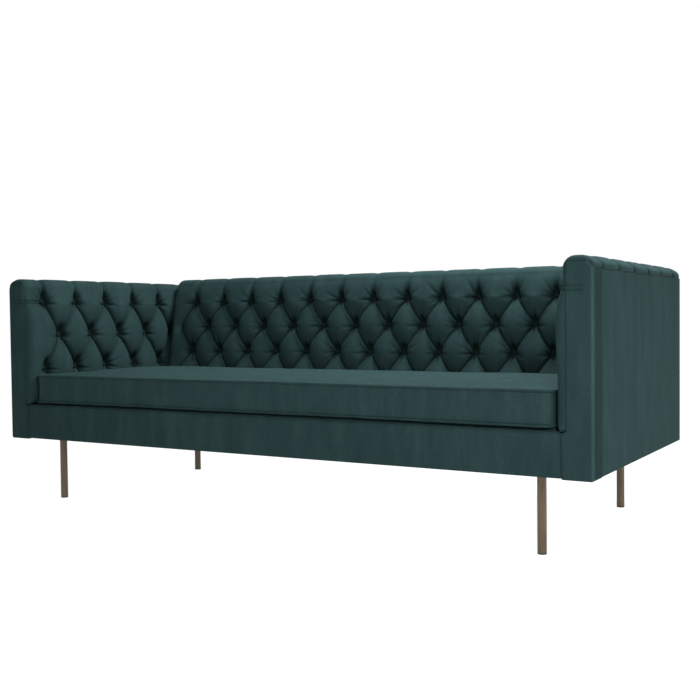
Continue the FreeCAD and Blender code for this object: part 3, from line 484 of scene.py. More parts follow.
class Buttoning:
    """One buttoned surface: its stations' rows and heights, and the strips between its pleats."""

    def __init__(self, rows_down, step, crown, first, pitch, columns, pit, seed):
        self.rows_down = rows_down
        self.crown = crown
        self.first = first
        self.pitch = pitch
        self.columns = columns
        self.pit = pit
        self.step = step
        self.random = np.random.default_rng(seed)
        self.share = strip_shares(strip_columns)[:-1]
        self.open = opening(rows_down)
        self.on_rows = rows_down >= 0
        self.above = np.maximum(-rows_down, 0) * step
        below = np.maximum(rows_down, 0)
        to_even = np.where(self.on_rows, np.abs((below + 1) % 2 - 1), -rows_down) * step
        to_odd = np.where(self.on_rows, np.abs(below % 2 - 1), 1 - rows_down) * step
        even_slit, odd_slit = (
            slit_width + (pit_width - slit_width) * np.exp(-(away / pit_half_height) ** 2)
            for away in (to_even, to_odd))
        self.even_width = even_slit + (pitch - even_slit - odd_slit) * self.open
        between = np.sin(math.pi * (below % 1)) ** 0.8
        rising = 1 - np.exp(-self.above / (17 * MM))
        self.pleat = crown * np.where(self.on_rows, 0.2 * between, pleat_top * rising)
        self.loose = crown * np.where(self.on_rows, 0.2 * between, 0)
        self.upper_even = self.on_rows & (np.floor(below) % 2 == 0)
        self.upper_odd = self.on_rows & (np.floor(below) % 2 == 1)

    def column(self, number):
        """Place of a column of buttons."""
        return self.first + number * self.pitch

    def swell(self, open_share, width, upper):
        """Height across one strip: a half ellipse over the pleats, with tucked folds; and its painted
        shade.

        All pleats that run down to the right are folded tightly and have a painted highlight along
        their edge. Those that run down to the left are looser. A strip ends above a button in a furrow
        with painted shade, and starts below one with a painted highlight.
        """
        across = self.share[:, None]
        ridge = self.crown * np.sin(np.clip(open_share, 0, 1) * math.pi / 2) ** 0.62
        pleat = self.pleat + self.loose * np.where(upper, 1 - across, across)
        ridge = np.maximum(ridge * self.random.uniform(0.95, 1.03), pleat)
        arch = (4 * across * (1 - across)) ** 0.52
        height = pleat + (ridge - pleat) * arch
        right = (1 - across) * width
        left = across * width
        along_pleat = np.sin(math.pi * np.clip(open_share, 0, 1)) ** 0.7 * upper
        for away, depth, reach in ((right, 1.5 * MM, 9 * MM), (left, 0.7 * MM, 7 * MM)):
            tucks = np.cos(2 * math.pi * away / tuck_pitch) * np.exp(-away / reach)
            height = height + depth * along_pleat * tucks
        # Painted highlight along the edge of each pleat that runs down to the right.
        pale = along_pleat * np.exp(-((right - 5 * MM) / (2.6 * MM)) ** 2)
        closing = self.on_rows & ~upper
        middle = (across - 0.5) * width
        furrow = closing * np.exp(-(width / (48 * MM)) ** 2 - (middle / (4.5 * MM)) ** 2)
        height = height - np.minimum(8 * MM, 0.4 * height) * furrow
        tip = upper * np.exp(-(width / (34 * MM)) ** 2)
        # Painted shade in the furrow, painted highlights on the pleat edge and at the tip.
        return height, 0.8 * furrow - 1.8 * pale - 0.55 * tip

    def buttons(self):
        """(row, place) of every button: even rows on the columns, odd rows half a pitch on."""
        for row in range(button_rows):
            for number in range(self.columns - row % 2):
                yield row, self.column(number + 0.5 * (row % 2))

    def pucker(self, spots, heights):
        """Presses a dimple at each button and lays creases round it. Gives heights and the creases.

        Dimple: the height times 1 - 0.4 exp(-(r / wide)^2) - 0.58 exp(-(r / narrow)^4), where r
        is drawn out upwards, because the filling above a button hangs over it. Each crease is a
        narrow Gaussian groove about one angle, which widens away from the button and ends at its
        own length.
        """
        heights = heights.copy()
        creases = np.zeros_like(heights)
        for row, place in self.buttons():
            near = np.flatnonzero(np.abs(spots - place).min(axis=1) < 75 * MM)
            aside = spots[near] - place
            rise = (row - self.rows_down) * self.step
            reach = np.hypot(aside, rise)
            angle = np.arctan2(aside, rise)
            above = rise > 0
            slant = np.hypot(aside * np.where(above, 1.25, 1.0), rise * np.where(above, 0.6, 1.4))
            dimple = 1 - 0.4 * np.exp(-(slant / dimple_radius) ** 2)
            dimple = dimple - 0.58 * np.exp(-(slant / self.pit) ** 4)
            local = heights[near] * dimple
            fade = smooth_step(reach, 5 * MM, 15 * MM)
            turns = np.linspace(-math.pi, math.pi, creases_round + 1)[:-1]
            turns = turns + self.random.uniform(-0.3, 0.3)
            for crease in turns + self.random.uniform(-0.16, 0.16, len(turns)):
                upwards = np.cos(crease) > 0.45
                length = self.random.uniform(0.6, 1.0) * (62 * MM if upwards else 44 * MM)
                depth = self.random.uniform(2.2, 5.0) * MM
                off = (angle - crease + math.pi) % (2 * math.pi) - math.pi
                off = off * reach / (2.3 * MM + 0.05 * reach)
                groove = np.exp(-off ** 2 - (reach / length) ** 3) * fade
                local = local - depth * groove
                creases[near] = np.maximum(creases[near], groove)
            heights[near] = local
        return heights, creases

    def pleats_above(self, spots, fade):
        """The pleat of each top button, carried up over the roll.

        Gives two fine lines side by side, 0 to 1, the shallow valley that they lie in, and the
        slit that opens above the button.
        """
        shown = smooth_step(self.above, 6 * MM, 26 * MM)
        slit_shown = (self.above > 0) * (1 - smooth_step(self.above, 8 * MM, 50 * MM))
        nearest = np.clip(np.round((spots - self.first) / self.pitch), 0, self.columns - 1)
        aside = spots - self.column(nearest)
        lines = np.exp(-((np.abs(aside) - 4.6 * MM) / (2.0 * MM)) ** 2)
        lines = lines * shown * (1 - smooth_step(self.above, *fade))
        valley = np.exp(-(aside / (13 * MM)) ** 2) * shown
        valley = valley * (1 - smooth_step(self.above, 0.10, 0.18))
        slit = np.exp(-(aside / (3.0 * MM)) ** 2) * slit_shown
        return lines, valley, slit

    def strips(self):
        """All strips between the first and the last even column, as (spots, heights, painted shade).
        """
        blocks = []
        for number in range(self.columns - 1):
            middle = self.column(number)
            if number:
                blocks.append(self.column_strip(number))
            blocks.append(self.strip(middle + self.even_width / 2,
                                     middle + self.pitch - self.even_width / 2, False))
        return blocks

    def column_strip(self, number):
        """The strip that opens below one even column."""
        middle = self.column(number)
        return self.strip(middle - self.even_width / 2, middle + self.even_width / 2, True)

    def strip(self, start, end, even):
        """One strip without its last line, which the next strip begins with."""
        spots = start + (end - start) * self.share[:, None]
        open_share = self.open if even else 1 - self.open
        upper = self.upper_even if even else self.upper_odd
        return (spots, *self.swell(open_share, end - start, upper))

    def end_strip(self, count, start, end, edge, outer_first):
        """From a pad's end to a column's outer pleat: a quarter ellipse that is level at the end."""
        share = strip_shares(count)
        from_end = share if outer_first else 1 - share
        spots = start + (end - start) * share[:, None]
        rise = (1 - from_end[:, None] ** 2.2) ** 0.55
        pleat = np.minimum(self.pleat, edge)
        height = pleat + (edge - pleat) * rise
        return spots, height, np.zeros_like(height)


print("strip columns", strip_columns)

# %% [markdown]
# ## The back
# The back's cover has thirteen columns of buttons and stands between the arms. Its two ends
# are rounded, so a dark gap shows against each arm, and cloth closes the frame behind them.
# Below the cushion's top the padding is pressed flat. The swell of each diamond also hangs a
# few millimetres, as filling does. The top roll is painted a little paler, a painted highlight.

# %% Back
back_foam_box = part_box("back_foam")
back_button_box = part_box("back_buttons")
back_lean = math.radians(10.0)
button_radius = 8.5 * MM
back_step = 96 * MM
back_top_row = 0.692
back_columns = 13
tuck_level = 0.430
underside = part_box("base_front_border")[0].z
soft_gap = 0.3 * MM
full_crown = 38 * MM
face_top = 0.70
inner_every = 8
back_end_columns = 26
back_tuck_height = 29.5 * MM


def rounded_end(distance, radius):
    """Height share near an end: a quarter circle over the last radius."""
    inside = np.clip(1 - distance / radius, 0, 0.985)
    return np.sqrt(1 - inside ** 2)


def hang(heights, crown, on_face, amount=7 * MM):
    """How far the filling hangs down, most at the crown of a diamond."""
    return amount * np.clip(heights / np.max(crown), 0, 1) ** 2 * on_face


def closed_rings(spots, points, normals, heights, drop, place):
    """Rings of a padded cover: its outside along the line, then back along the foam."""
    depth = points[:, 0] + normals[:, 0] * heights
    level = points[:, 1] + normals[:, 1] * heights - drop
    inner = place(spots, points[:, 0], points[:, 1])[:, ::-1][:, ::inner_every]
    return np.concatenate([place(spots, depth, level), inner], axis=1)


def painted_fold_shading(heights, crown, steps, extra, reach=0.7):
    """Painted shade for such rings: up to 0.9 in the pits and pleats, plus extra painted light and
    shade; 0 inside.
    """
    low = heights / (crown + pit_floor)
    values = np.zeros((len(heights), steps))
    folds = 0.9 * (1 - smooth_step(low, 0.12, reach)) + extra
    values[:, :heights.shape[1]] = np.clip(folds, -0.6, 0.95)
    return values


def dress_pleats(buttoning, blocks, line_depth, valley_depth, fade):
    """Joins the strips, presses the buttons in and lays the upper pleats.

    Gives spots, heights and extra painted shade in the fine lines, slits and creases.
    """
    spots, heights, nap = (np.concatenate([block[k] for block in blocks]) for k in range(3))
    heights, creases = buttoning.pucker(spots, heights)
    lines, valley, slit = buttoning.pleats_above(spots, fade)
    slit_depth = np.minimum(9 * MM, 0.5 * heights)
    heights = heights - line_depth * lines - valley_depth * valley - slit_depth * slit
    return spots, heights, nap + 0.75 * np.maximum(lines, slit) + 0.3 * creases


def crown_heights(along, row_along, roll_start, stops):
    """Height of a full diamond along the line: full on the face, then down over the roll."""
    places = [0.0, row_along] + [roll_start + place for place, _ in stops]
    return np.interp(along, places, [full_crown, full_crown] + [height for _, height in stops])


def make_back():
    """The back's buttoned cover, with an end wall of cloth on either side."""
    half = back_foam_box[1].x
    foot = (back_foam_box[0].y - soft_gap, back_foam_box[0].z)
    top = back_foam_box[1].z + soft_gap
    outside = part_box("back_outside_cover")[0].y
    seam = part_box("back_outside_cover")[1].z + 0.5 * MM
    points, normals, along = cover_line(
        foot, back_lean, top, outside, seam, 14 * MM, 10 * MM, tuck_level - 0.032)
    level = points[:, 1]
    up = 1 / math.cos(back_lean)
    row_along = (back_top_row - foot[1]) * up
    roll_start = along[np.argmax(level > top - 0.026)]
    end = along[-1] - roll_start
    crown = crown_heights(along, row_along, roll_start, (
        (0.0, 23 * MM), (0.022, 16 * MM), (0.04, 13 * MM), (end - 0.05, 13 * MM),
        (end - 0.035, 9 * MM), (end - 0.02, 3 * MM), (end, 0.7 * MM)))
    rows_down = row_places(along, row_along, back_step * up)
    first = back_button_box[0].x + button_radius
    pitch = -2 * first / (back_columns - 1)
    buttoning = Buttoning(rows_down, back_step * up, crown, first, pitch, back_columns, 17 * MM, 11)
    blocks = buttoning.strips()
    blocks.insert(0, buttoning.column_strip(0))
    blocks.append(buttoning.column_strip(back_columns - 1))
    edge = crown * 0.95
    outermost = -first + buttoning.even_width / 2
    left_end = buttoning.end_strip(back_end_columns, -half, -outermost, edge, True)
    blocks.insert(0, tuple(part[:-1] for part in left_end))
    blocks.append(buttoning.end_strip(back_end_columns, outermost, half, edge, False))
    spots, heights, extra = dress_pleats(buttoning, blocks, 1.6 * MM, 2.4 * MM, (0.02, 0.08))
    # Painted highlight: the top roll's colour is lightened.
    extra = extra - 0.17 * smooth_step(buttoning.above, 0.02, 0.06)
    plain = 1 - smooth_step(level, tuck_level - 0.03, tuck_level - 0.008)
    fold_heights = (pit_floor + heights) * (1 - plain) + back_tuck_height * plain
    heights = fold_heights * rounded_end(half - np.abs(spots), 30 * MM)
    on_face = smooth_step(level, tuck_level, tuck_level + 0.03)
    on_face = on_face * (1 - smooth_step(level, face_top, face_top + 0.05))
    drop = hang(heights, crown, on_face)
    rings = closed_rings(spots, points, normals, heights, drop, grid_of)
    nap = painted_fold_shading(fold_heights, crown, rings.shape[1], extra)
    sill = underside + 6 * MM
    corners = np.array([points[-1], (outside, sill), (foot[0] + 0.02, sill), points[0]])
    inner = np.linspace(0, 3, rings.shape[1] - len(level))
    frame_line = np.stack([np.interp(inner, range(4), corners[:, k]) for k in (0, 1)], axis=1)
    walls = rings[[0, -1]]
    walls[:, :, 0] += np.array([[-soft_gap], [soft_gap]])
    walls[:, len(level):, 1:] = frame_line
    piece = tube_piece("back_cover", np.concatenate([walls[:1], rings, walls[1:]]))
    paint_nap_and_light(piece, np.pad(nap, ((1, 1), (0, 0)), mode="edge"))
    return upholster(piece, "sofa", ["back_buttoned_cover", "back_foam"])


back_cover = make_back()

# %% [markdown]
# ## The arms
# An arm is buttoned in the same way, but its cloth also wraps round the front edge: a soft
# quarter circle that grows with the padding, then a short land on the front face. The first
# buttons are close to the edge, so beside them the surface is a quarter ellipse that is level
# at the front, with the pits pressed into it.

# %% Arms
front_face = cad_box[0].y
rear_face = cad_box[1].y
half_width = cad_box[1].x
arm_step = 118 * MM
arm_top_row = 0.694
arm_columns = 6
arm_foot_levels = (0.334, 0.339, 0.347, 0.362)
arm_foot_heights = (0.0270, 0.0315, 0.0350, 0.0375)
arm_foot_rounding = (0.0060, 0.0120, 0.0190, 0.0280)
arm_edge_levels = (0.33, 0.46, 0.56, 0.62, 0.655, 0.685, 0.715, 0.735)
arm_edge_heights = (0.0375, 0.0380, 0.0425, 0.0420, 0.0380, 0.0280, 0.0205, 0.0190)
arm_end_columns = 24
arm_front_columns = 60
land_rows = 3
wrap_rows = 10


def arm_line():
    """The arm cover's stations, with the height of the padding at the arm's two ends."""
    foam_low, foam_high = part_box("arm_foam_right")
    board_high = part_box("arm_outer_board_right")[1]
    foot = (foam_low.x - soft_gap, foam_low.z)
    top = foam_high.z + soft_gap
    points, normals, along = cover_line(foot, 0.0, top, board_high.x + soft_gap, board_high.z,
                                        12 * MM, 10 * MM, tuck_level - 0.01)
    roll_start = along[np.argmax(points[:, 1] > top - 0.013)]
    end = along[-1] - roll_start
    row_along = arm_top_row - foot[1]
    crown = crown_heights(along, row_along, roll_start, (
        (0.0, 23 * MM), (0.018, 19 * MM), (0.03, 18.5 * MM), (end - 0.030, 18 * MM),
        (end - 0.022, 13 * MM), (end - 0.014, 7 * MM), (end, 0.7 * MM)))
    on_face = np.interp(points[:, 1], arm_edge_levels, arm_edge_heights)
    on_roll = np.minimum(crown + pit_floor, 20 * MM)
    edge = np.where(along < roll_start, on_face, on_roll) - pit_floor
    edge = np.convolve(np.pad(edge, 2, mode="edge"), np.ones(5) / 5, mode="valid")
    return points, normals, along, row_along, crown, edge


def front_folds(level):
    """Two fine grooves beside the top button row, where its pleat runs out over the front."""
    return sum(np.exp(-((level - arm_top_row - side * 4.4 * MM) / (2.4 * MM)) ** 2)
               for side in (-1, 1))


def on_arm_top(along, row_along):
    """0 on the arm's face, 1 on its top."""
    return smooth_step(along, row_along + 0.02, row_along + 0.07)


def make_arm(side, name, seed):
    """One arm's buttoned cover: the strips, and before them the wrap round the front edge."""
    points, normals, along, row_along, crown, edge = arm_line()
    level = points[:, 1]
    low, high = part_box("arm_buttons_right")
    first = low.y + button_radius
    pitch = (high.y - low.y - 2 * button_radius) / (arm_columns - 1)
    rows_down = row_places(along, row_along, arm_step)
    buttoning = Buttoning(rows_down, arm_step, crown, first, pitch, arm_columns, 22 * MM, seed)
    radius = np.clip(0.78 * (edge + pit_floor), 2 * MM,
                     np.interp(level, arm_foot_levels, arm_foot_rounding))
    share = strip_shares(arm_front_columns)[:-1, None]
    start = front_face + radius
    spots = start + (first + buttoning.even_width / 2 - start) * share
    pleat = np.minimum(buttoning.pleat, edge)
    bulge = edge + (crown * 0.96 - edge) * np.sin(math.pi * share) * buttoning.open
    heights = pleat + (bulge - pleat) * (1 - share ** 2.2) ** 0.55
    blocks = [(spots, heights, np.zeros_like(heights))] + buttoning.strips()
    outermost = buttoning.column(arm_columns - 1) + buttoning.even_width / 2
    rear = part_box("arm_buttoned_cover_right")[1].y
    blocks.append(buttoning.column_strip(arm_columns - 1))
    blocks.append(buttoning.end_strip(arm_end_columns, outermost, rear, edge, False))
    spots, heights, extra = dress_pleats(buttoning, blocks, 2.4 * MM, 3.4 * MM, (0.3, 0.4))
    plain = 1 - smooth_step(level, tuck_level - 0.012, tuck_level + 0.004)
    foot_heights = np.interp(level, arm_foot_levels, arm_foot_heights)
    heights = (pit_floor + heights) * (1 - plain) + foot_heights * plain
    wrap_shape = (land_rows + wrap_rows, len(level))
    fold_heights = np.concatenate([np.broadcast_to(crown, wrap_shape), heights])
    on_top = on_arm_top(along, row_along)
    heights = heights * (1 - on_top * (1 - rounded_end(rear - spots, 32 * MM)))
    folds = front_folds(level)
    at_front = smooth_step(-spots, -first, -first + 0.012)
    heights = heights - 3.0 * MM * folds * at_front
    # Painted shade in the two front grooves, on the wrap and on the front of the strips.
    extra = np.concatenate([np.broadcast_to(0.6 * folds, wrap_shape), extra + 0.6 * folds * at_front])
    turn = np.linspace(math.pi / 2, 0, wrap_rows + 1)[:-1, None]
    land = np.linspace(9 * MM, 0, land_rows + 1)[:-1, None]
    rim = heights[0]
    spots = np.concatenate([np.full((land_rows, len(level)), front_face),
                            front_face + radius * (1 - np.sin(turn)), spots])
    heights = np.concatenate([rim - radius - land, rim - radius * (1 - np.cos(turn)), heights])
    on_face = smooth_step(level, tuck_level, tuck_level + 0.03)
    on_face = on_face * (1 - smooth_step(level, face_top, face_top + 0.04))
    drop = hang(heights, crown, on_face)
    drop = drop * smooth_step(spots, front_face + 0.03, front_face + 0.08)

    def arm_place(spots, depth, level):
        return grid_of(side * depth, np.maximum(spots, front_face), level)

    rings = closed_rings(spots, points, normals, heights, drop, arm_place)
    inner = rings[:, len(level):, 1]
    np.maximum(inner, front_face + 4 * MM, out=inner)
    piece = tube_piece("arm_cover_" + name, rings)
    paint_nap_and_light(piece, painted_fold_shading(fold_heights, crown, rings.shape[1], extra, 0.8))
    return upholster(piece, "sofa", ["arm_buttoned_cover_" + name, "arm_foam_" + name])


arm_covers = [make_arm(1, "right", 5), make_arm(-1, "left", 8)]

# %% [markdown]
# ## Arm fronts
# The front of each arm is plain cloth over thin padding. It starts under the land of the
# buttoned cover, runs across the front, round the outer corner and along the side to a seam.
# The surface is that line in plan, carried up the arm, and drawn in at its foot and head.

# %% Arm fronts
border_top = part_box("base_front_border")[1].z
border_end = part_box("base_front_border")[1].x
arm_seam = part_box("arm_front_panel_right")[1].y
outer_corner = 5 * MM
under_land = 0.984


def make_arm_front(side, name):
    """One arm's front: a line in plan as five runs, the inner edge, front, corner, side and seam."""
    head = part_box("arm_outer_board_right")[1].z
    levels = np.concatenate([[underside, underside], underside + 4 * MM * np.array([0.12, 0.45, 1.0]),
                             np.arange(underside + 0.010, head - 0.012, 0.006),
                             np.linspace(head - 0.012, head + 0.016, 8)])
    inset = np.interp(levels - underside, [0.0, 0.5 * MM, 1.8 * MM, 4 * MM],
                      [4 * MM, 2.6 * MM, 1.0 * MM, 0.0])
    inset[0] = 9 * MM
    inset = inset[:, None]
    tuck_in = smooth_step(levels, head - 4 * MM, head + 2 * MM)[:, None] * 4.5 * MM
    lean_in = smooth_step(levels, head - 2 * MM, head + 16 * MM)[:, None] * 12 * MM
    inner = np.where(levels < border_top + 1 * MM, border_end + soft_gap, under_land)[:, None]
    outer = half_width - lean_in
    across = np.linspace(0, 1, 26)[:-1]
    bend = np.linspace(-math.pi / 2, 0, 9)
    seam_start = arm_seam - 3 * MM
    depth = np.linspace(front_face + outer_corner, seam_start, 14)[1:]
    close_x, close_y = np.array([[0.6, 1.8, 4.0], [1.2, 2.4, 3.0]]) * MM
    front_x = inner + (outer - outer_corner - inner) * across
    grooves = front_folds(levels)[:, None] * np.interp(front_x, [0.98, 1.02, 1.04], [1.0, 0.8, 0.0])
    puff = np.sin(math.pi * across) ** 2 * 0.6 * MM
    runs = ((inner, front_face + np.array([10.0, 3.0]) * MM),
            (front_x, front_face + 0.15 * MM + 2.6 * MM * grooves - puff),
            (outer - outer_corner + outer_corner * np.cos(bend),
             front_face + outer_corner + outer_corner * np.sin(bend)),
            (outer - tuck_in, depth),
            (outer - tuck_in - close_x, seam_start + close_y))
    x, y = (np.concatenate(parts, axis=1) for parts in
            zip(*(np.broadcast_arrays(run_x, run_y, levels[:, None])[:2] for run_x, run_y in runs)))
    bend_start = 2 + len(across)
    side_start = bend_start + len(bend)
    on_side = (np.arange(x.shape[1]) >= side_start).astype(float)
    turned = np.clip((x - (outer - outer_corner)) / outer_corner, 0, 1)
    turned = np.where(on_side > 0, 1.0, turned)
    grid = grid_of(side * (x - inset * turned), y + inset * (1 - turned), levels[:, None])
    piece = mesh_piece("arm_front_" + name, grid.reshape(-1, 3), grid_faces(*x.shape, False),
                       flip=side < 0)
    # The side run is cut with its pile turned, so it looks darker; the front grooves get painted shade
    # and the outer corner a painted highlight.
    nap = np.tile(0.5 * on_side, (len(levels), 1))
    nap[:, 2:bend_start] = 0.7 * np.clip(grooves, 0, 1)
    nap[:, bend_start:side_start] = -0.6 * np.sin(np.linspace(0, math.pi, len(bend)))
    paint_nap_and_light(piece, nap)
    wall = piece.modifiers.new("wall", "SOLIDIFY")
    wall.thickness = 3 * MM
    wall.offset = -1.0
    return upholster(piece, "sofa", ["arm_front_panel_" + name])


arm_fronts = [make_arm_front(1, "right"), make_arm_front(-1, "left")]

# %% [markdown]
# ## Plain outside panels
# The outsides of the arms and the back are cloth drawn flat over hardboard. Each is a sheet
# that swells a little and rolls over at its edges; one face behind it closes the piece.

# %% Outside panels
rear_foot = 0.36


def edge_roll(count, length, radius):
    """Places along a side, with extra ones near both ends where the edge rolls over."""
    near = radius * (1 - np.cos(np.linspace(0, math.pi / 2, 6)))
    middle = np.linspace(radius, length - radius, count)[1:-1]
    return np.concatenate([near, middle, length - near[::-1]])


def panel_sheet(across, up, thick, radius, swell, hem=0.0):
    """Rises over a flat rectangle: a quarter circle at the edges and a slow swell between.

    A hem as long as the radius leaves the lower edge at full thickness.
    """
    a = np.minimum(across, across[-1] - across)[:, None]
    b = np.minimum(up + hem, up[-1] - up)
    edge = np.minimum(quarter_round(a, radius), quarter_round(b, radius))
    slow = np.sin(math.pi * across / across[-1])[:, None] * np.sin(math.pi * up / up[-1])
    return thick * edge + swell * np.sqrt(np.clip(slow, 0, 1))


def make_side_panel(side, name):
    """The outside of one arm."""
    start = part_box("arm_outside_cover_right")[0].y
    board_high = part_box("arm_outer_board_right")[1]
    across = edge_roll(90, rear_face - start, 4 * MM)
    up = edge_roll(60, board_high.z - 0.5 * MM - underside, 4 * MM)
    rise = panel_sheet(across, up, half_width - board_high.x, 3 * MM, 1.2 * MM, 3 * MM)
    grid = grid_of(side * (board_high.x + rise), (start + across)[:, None], underside + up)
    piece = sheet_piece("arm_outside_" + name, grid)
    return upholster(piece, "sofa", ["arm_outside_cover_" + name])


def make_rear_end(side, name):
    """The rear end of an arm: the outline of its padding, carried back and rounded over."""
    inner_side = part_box("back_outside_cover")[1].x + 1 * MM
    points, normals, along, row_along, _, edge = arm_line()
    height = (edge + pit_floor) * (1 - 0.83 * on_arm_top(along, row_along))
    x, z = (points + normals * height[:, None]).T
    keep = z > rear_foot
    outside = np.linspace(z[-1], underside, 40)[1:]
    sill = np.linspace(inner_side, half_width, 12)[-2:0:-1]
    x = np.concatenate([np.full(12, inner_side), x[keep], np.full(len(outside), half_width), sill])
    z = np.concatenate([np.linspace(underside, rear_foot, 12), z[keep], outside,
                        np.full(len(sill), underside)])
    base = rear_face - 4 * MM
    rings = []
    for inset, back in ((0, 0), (0, 1.5 * MM), (0.5 * MM, 2.8 * MM), (1.6 * MM, 3.7 * MM),
                        (3.5 * MM, 4.0 * MM)):
        pull_x = inset * np.sign(x - 1.0)
        pull_z = inset * np.clip((z - 0.5) / 0.25, -1, 1) ** 5
        rings.append(grid_of(side * (x - pull_x), base + back, z - pull_z))
    piece = tube_piece("arm_rear_" + name, np.stack(rings))
    return upholster(piece, "sofa", ["arm_outside_cover_" + name])


def make_back_panel():
    """The outside of the back."""
    low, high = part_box("back_outside_cover")
    across = edge_roll(160, high.x - low.x, 4 * MM)
    up = edge_roll(60, high.z - low.z, 4 * MM)
    rise = panel_sheet(across, up, high.y - low.y, 4 * MM, 1.5 * MM)
    piece = sheet_piece("back_outside", grid_of((low.x + across)[:, None], low.y + rise, low.z + up))
    return upholster(piece, "sofa", ["back_outside_cover"])


side_panels = [make_side_panel(1, "right"), make_side_panel(-1, "left")]
rear_ends = [make_rear_end(1, "right"), make_rear_end(-1, "left")]
back_panel = make_back_panel()

# %% [markdown]
# ## Base border and deck
# The border is a padded strip over the front rail with a rounded top edge. Its profile is a
# line with two round corners, carried along the front and drawn in at both ends, which leaves
# a soft seam against the arms. The deck under the cushion is a plain padded sheet. A flap of its
# cloth runs on under each arm, so that no timber shows beside it.

# %% Base border and deck


def round_corner(centre, radius, start, end, count=7):
    """Points of an arc in a profile, from one angle to another."""
    turn = np.linspace(start, end, count)
    return np.stack([centre[0] + radius * np.cos(turn), centre[1] + radius * np.sin(turn)], axis=1)


def make_border():
    """The padded strip along the base's front."""
    low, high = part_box("base_front_border")
    nose, foot, seam, half_thick = 10 * MM, 4 * MM, 7 * MM, 9 * MM
    rear = high.y - soft_gap
    quarter = math.pi / 2
    face = np.linspace(underside + foot, border_top - nose, 26)[1:-1]
    profile = np.concatenate([
        [[front_face + 12 * MM, underside]],
        round_corner((front_face + foot, underside + foot), foot, -quarter, -2 * quarter),
        np.stack([np.full_like(face, front_face), face], axis=1),
        round_corner((front_face + nose, border_top - nose), nose, 2 * quarter, quarter),
        [[rear, border_top], [rear, border_top - 12 * MM],
         [front_face + 12 * MM, border_top - 16 * MM]]])
    across = edge_roll(220, high.x - low.x, seam)
    drawn = 1 - quarter_round(np.minimum(across, across[-1] - across), seam)
    middle = np.array([front_face + half_thick, (underside + border_top) / 2])
    pull = (profile - middle) / np.array([half_thick, (border_top - underside) / 2])
    shape = profile - drawn[:, None, None] * np.clip(pull, -1, 1) * 5 * MM
    wave = 0.5 * MM * np.sin(across * 9.0) + 0.4 * MM * np.sin(across * 23.0 + 1.0)
    level = profile[:, 1]
    on_face = smooth_step(level, underside, underside + 0.03)
    on_face = on_face * (1 - smooth_step(level, border_top - 0.03, border_top))
    y = shape[..., 0] + wave[:, None] * on_face
    piece = tube_piece("base_border", grid_of((low.x + across)[:, None], y, shape[..., 1]))
    return upholster(piece, "sofa", ["base_front_border"])


def make_deck():
    """The padded deck, with a flap of cloth at either end that stops short of the corners."""
    low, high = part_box("deck_pad")
    edge, flap, set_back = 6 * MM, 24 * MM, 12 * MM
    across = edge_roll(60, high.x - low.x, edge)
    deep = edge_roll(30, high.y - low.y, edge)
    rise = np.pad(panel_sheet(across, deep, high.z - low.z, edge, 0.0), ((1, 1), (0, 0)))
    x = np.concatenate([[low.x - flap], low.x + across, [high.x + flap]])
    y = np.tile(low.y + deep, (len(x), 1))
    middle = (low.y + high.y) / 2
    y[[0, -1]] = middle + (y[[0, -1]] - middle) * (1 - 2 * set_back / (high.y - low.y))
    piece = sheet_piece("seat_deck", grid_of(x[:, None], y, low.z + rise))
    return upholster(piece, "sofa", ["deck_pad", "spring_felt"])


border = make_border()
deck = make_deck()

# %% [markdown]
# ## Seat cushion
# One long bench cushion: a foam core in a boxed cover, with piping in both seams. The cover
# starts as a slightly slack boxed shape. Blender's cloth solver then blows it up with a little
# pressure while its seams are held, so the panels swell between the seams as sewn cloth does.
# The top panel is painted a little darker, as painted shade, and the boxing a little lighter.
# The cloth is then drawn to its seams, where the piping is caught. The underside is pressed flat
# again, because it lies on the deck, and the ends stop short of the arms. The filling lifts the
# top seam a few millimetres above the bare core's edge.

# %% Seat cushion
cushion_low, cushion_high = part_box("cushion_cover")
welt_top_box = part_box("cushion_welt_top")
welt_low_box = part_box("cushion_welt_bottom")
welt_radius = 4 * MM
cushion_corner = 24 * MM
boxing_low = welt_low_box[0].z + welt_radius
seam_lift = 9 * MM
boxing_high = welt_top_box[1].z - welt_radius + seam_lift
cushion_middle = (cushion_low.y + cushion_high.y) / 2
cushion_half_depth = (cushion_high.y - cushion_low.y) / 2
seam_inset = 2 * MM
draw_front = 5 * MM
draw_end = 4 * MM
deck_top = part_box("deck_pad")[1].z


def cushion_outline(inset, spacing):
    """The seam's outline, anticlockwise from the rear middle: rounded corners, sides drawn in."""
    half = cushion_high.x - inset
    front = cushion_low.y + inset
    rear = cushion_high.y - inset
    corner = cushion_corner
    quarter = math.pi / 2

    def run(start, end):
        count = max(2, int(np.hypot(end[0] - start[0], end[1] - start[1]) / spacing))
        return np.linspace(start, end, count, endpoint=False)

    centres = ((corner - half, rear - corner), (corner - half, front + corner),
               (half - corner, front + corner), (half - corner, rear - corner))
    arcs = [round_corner(centre, corner, (number + 1) * quarter, (number + 2) * quarter, 9)
            for number, centre in enumerate(centres)]
    ends = [arc[0] for arc in arcs[1:]] + [(0.0, rear)]
    loop = [run((0.0, rear), arcs[0][0])]
    for arc, end in zip(arcs, ends):
        loop += [arc[:-1], run(arc[-1], end)]
    loop = np.concatenate(loop)
    x, y = loop[:, 0], loop[:, 1].copy()
    bow_front = draw_front * np.clip(1 - (x / (half - corner)) ** 2, 0, 1)
    straight = (rear - front) / 2 - corner
    bow_end = draw_end * np.clip(1 - ((y - (front + rear) / 2) / straight) ** 2, 0, 1)
    loop[:, 1] = y + np.where(y < front + corner, bow_front, 0)
    loop[:, 0] = x - np.sign(x) * np.where(np.abs(x) > half - corner, bow_end, 0)
    return loop


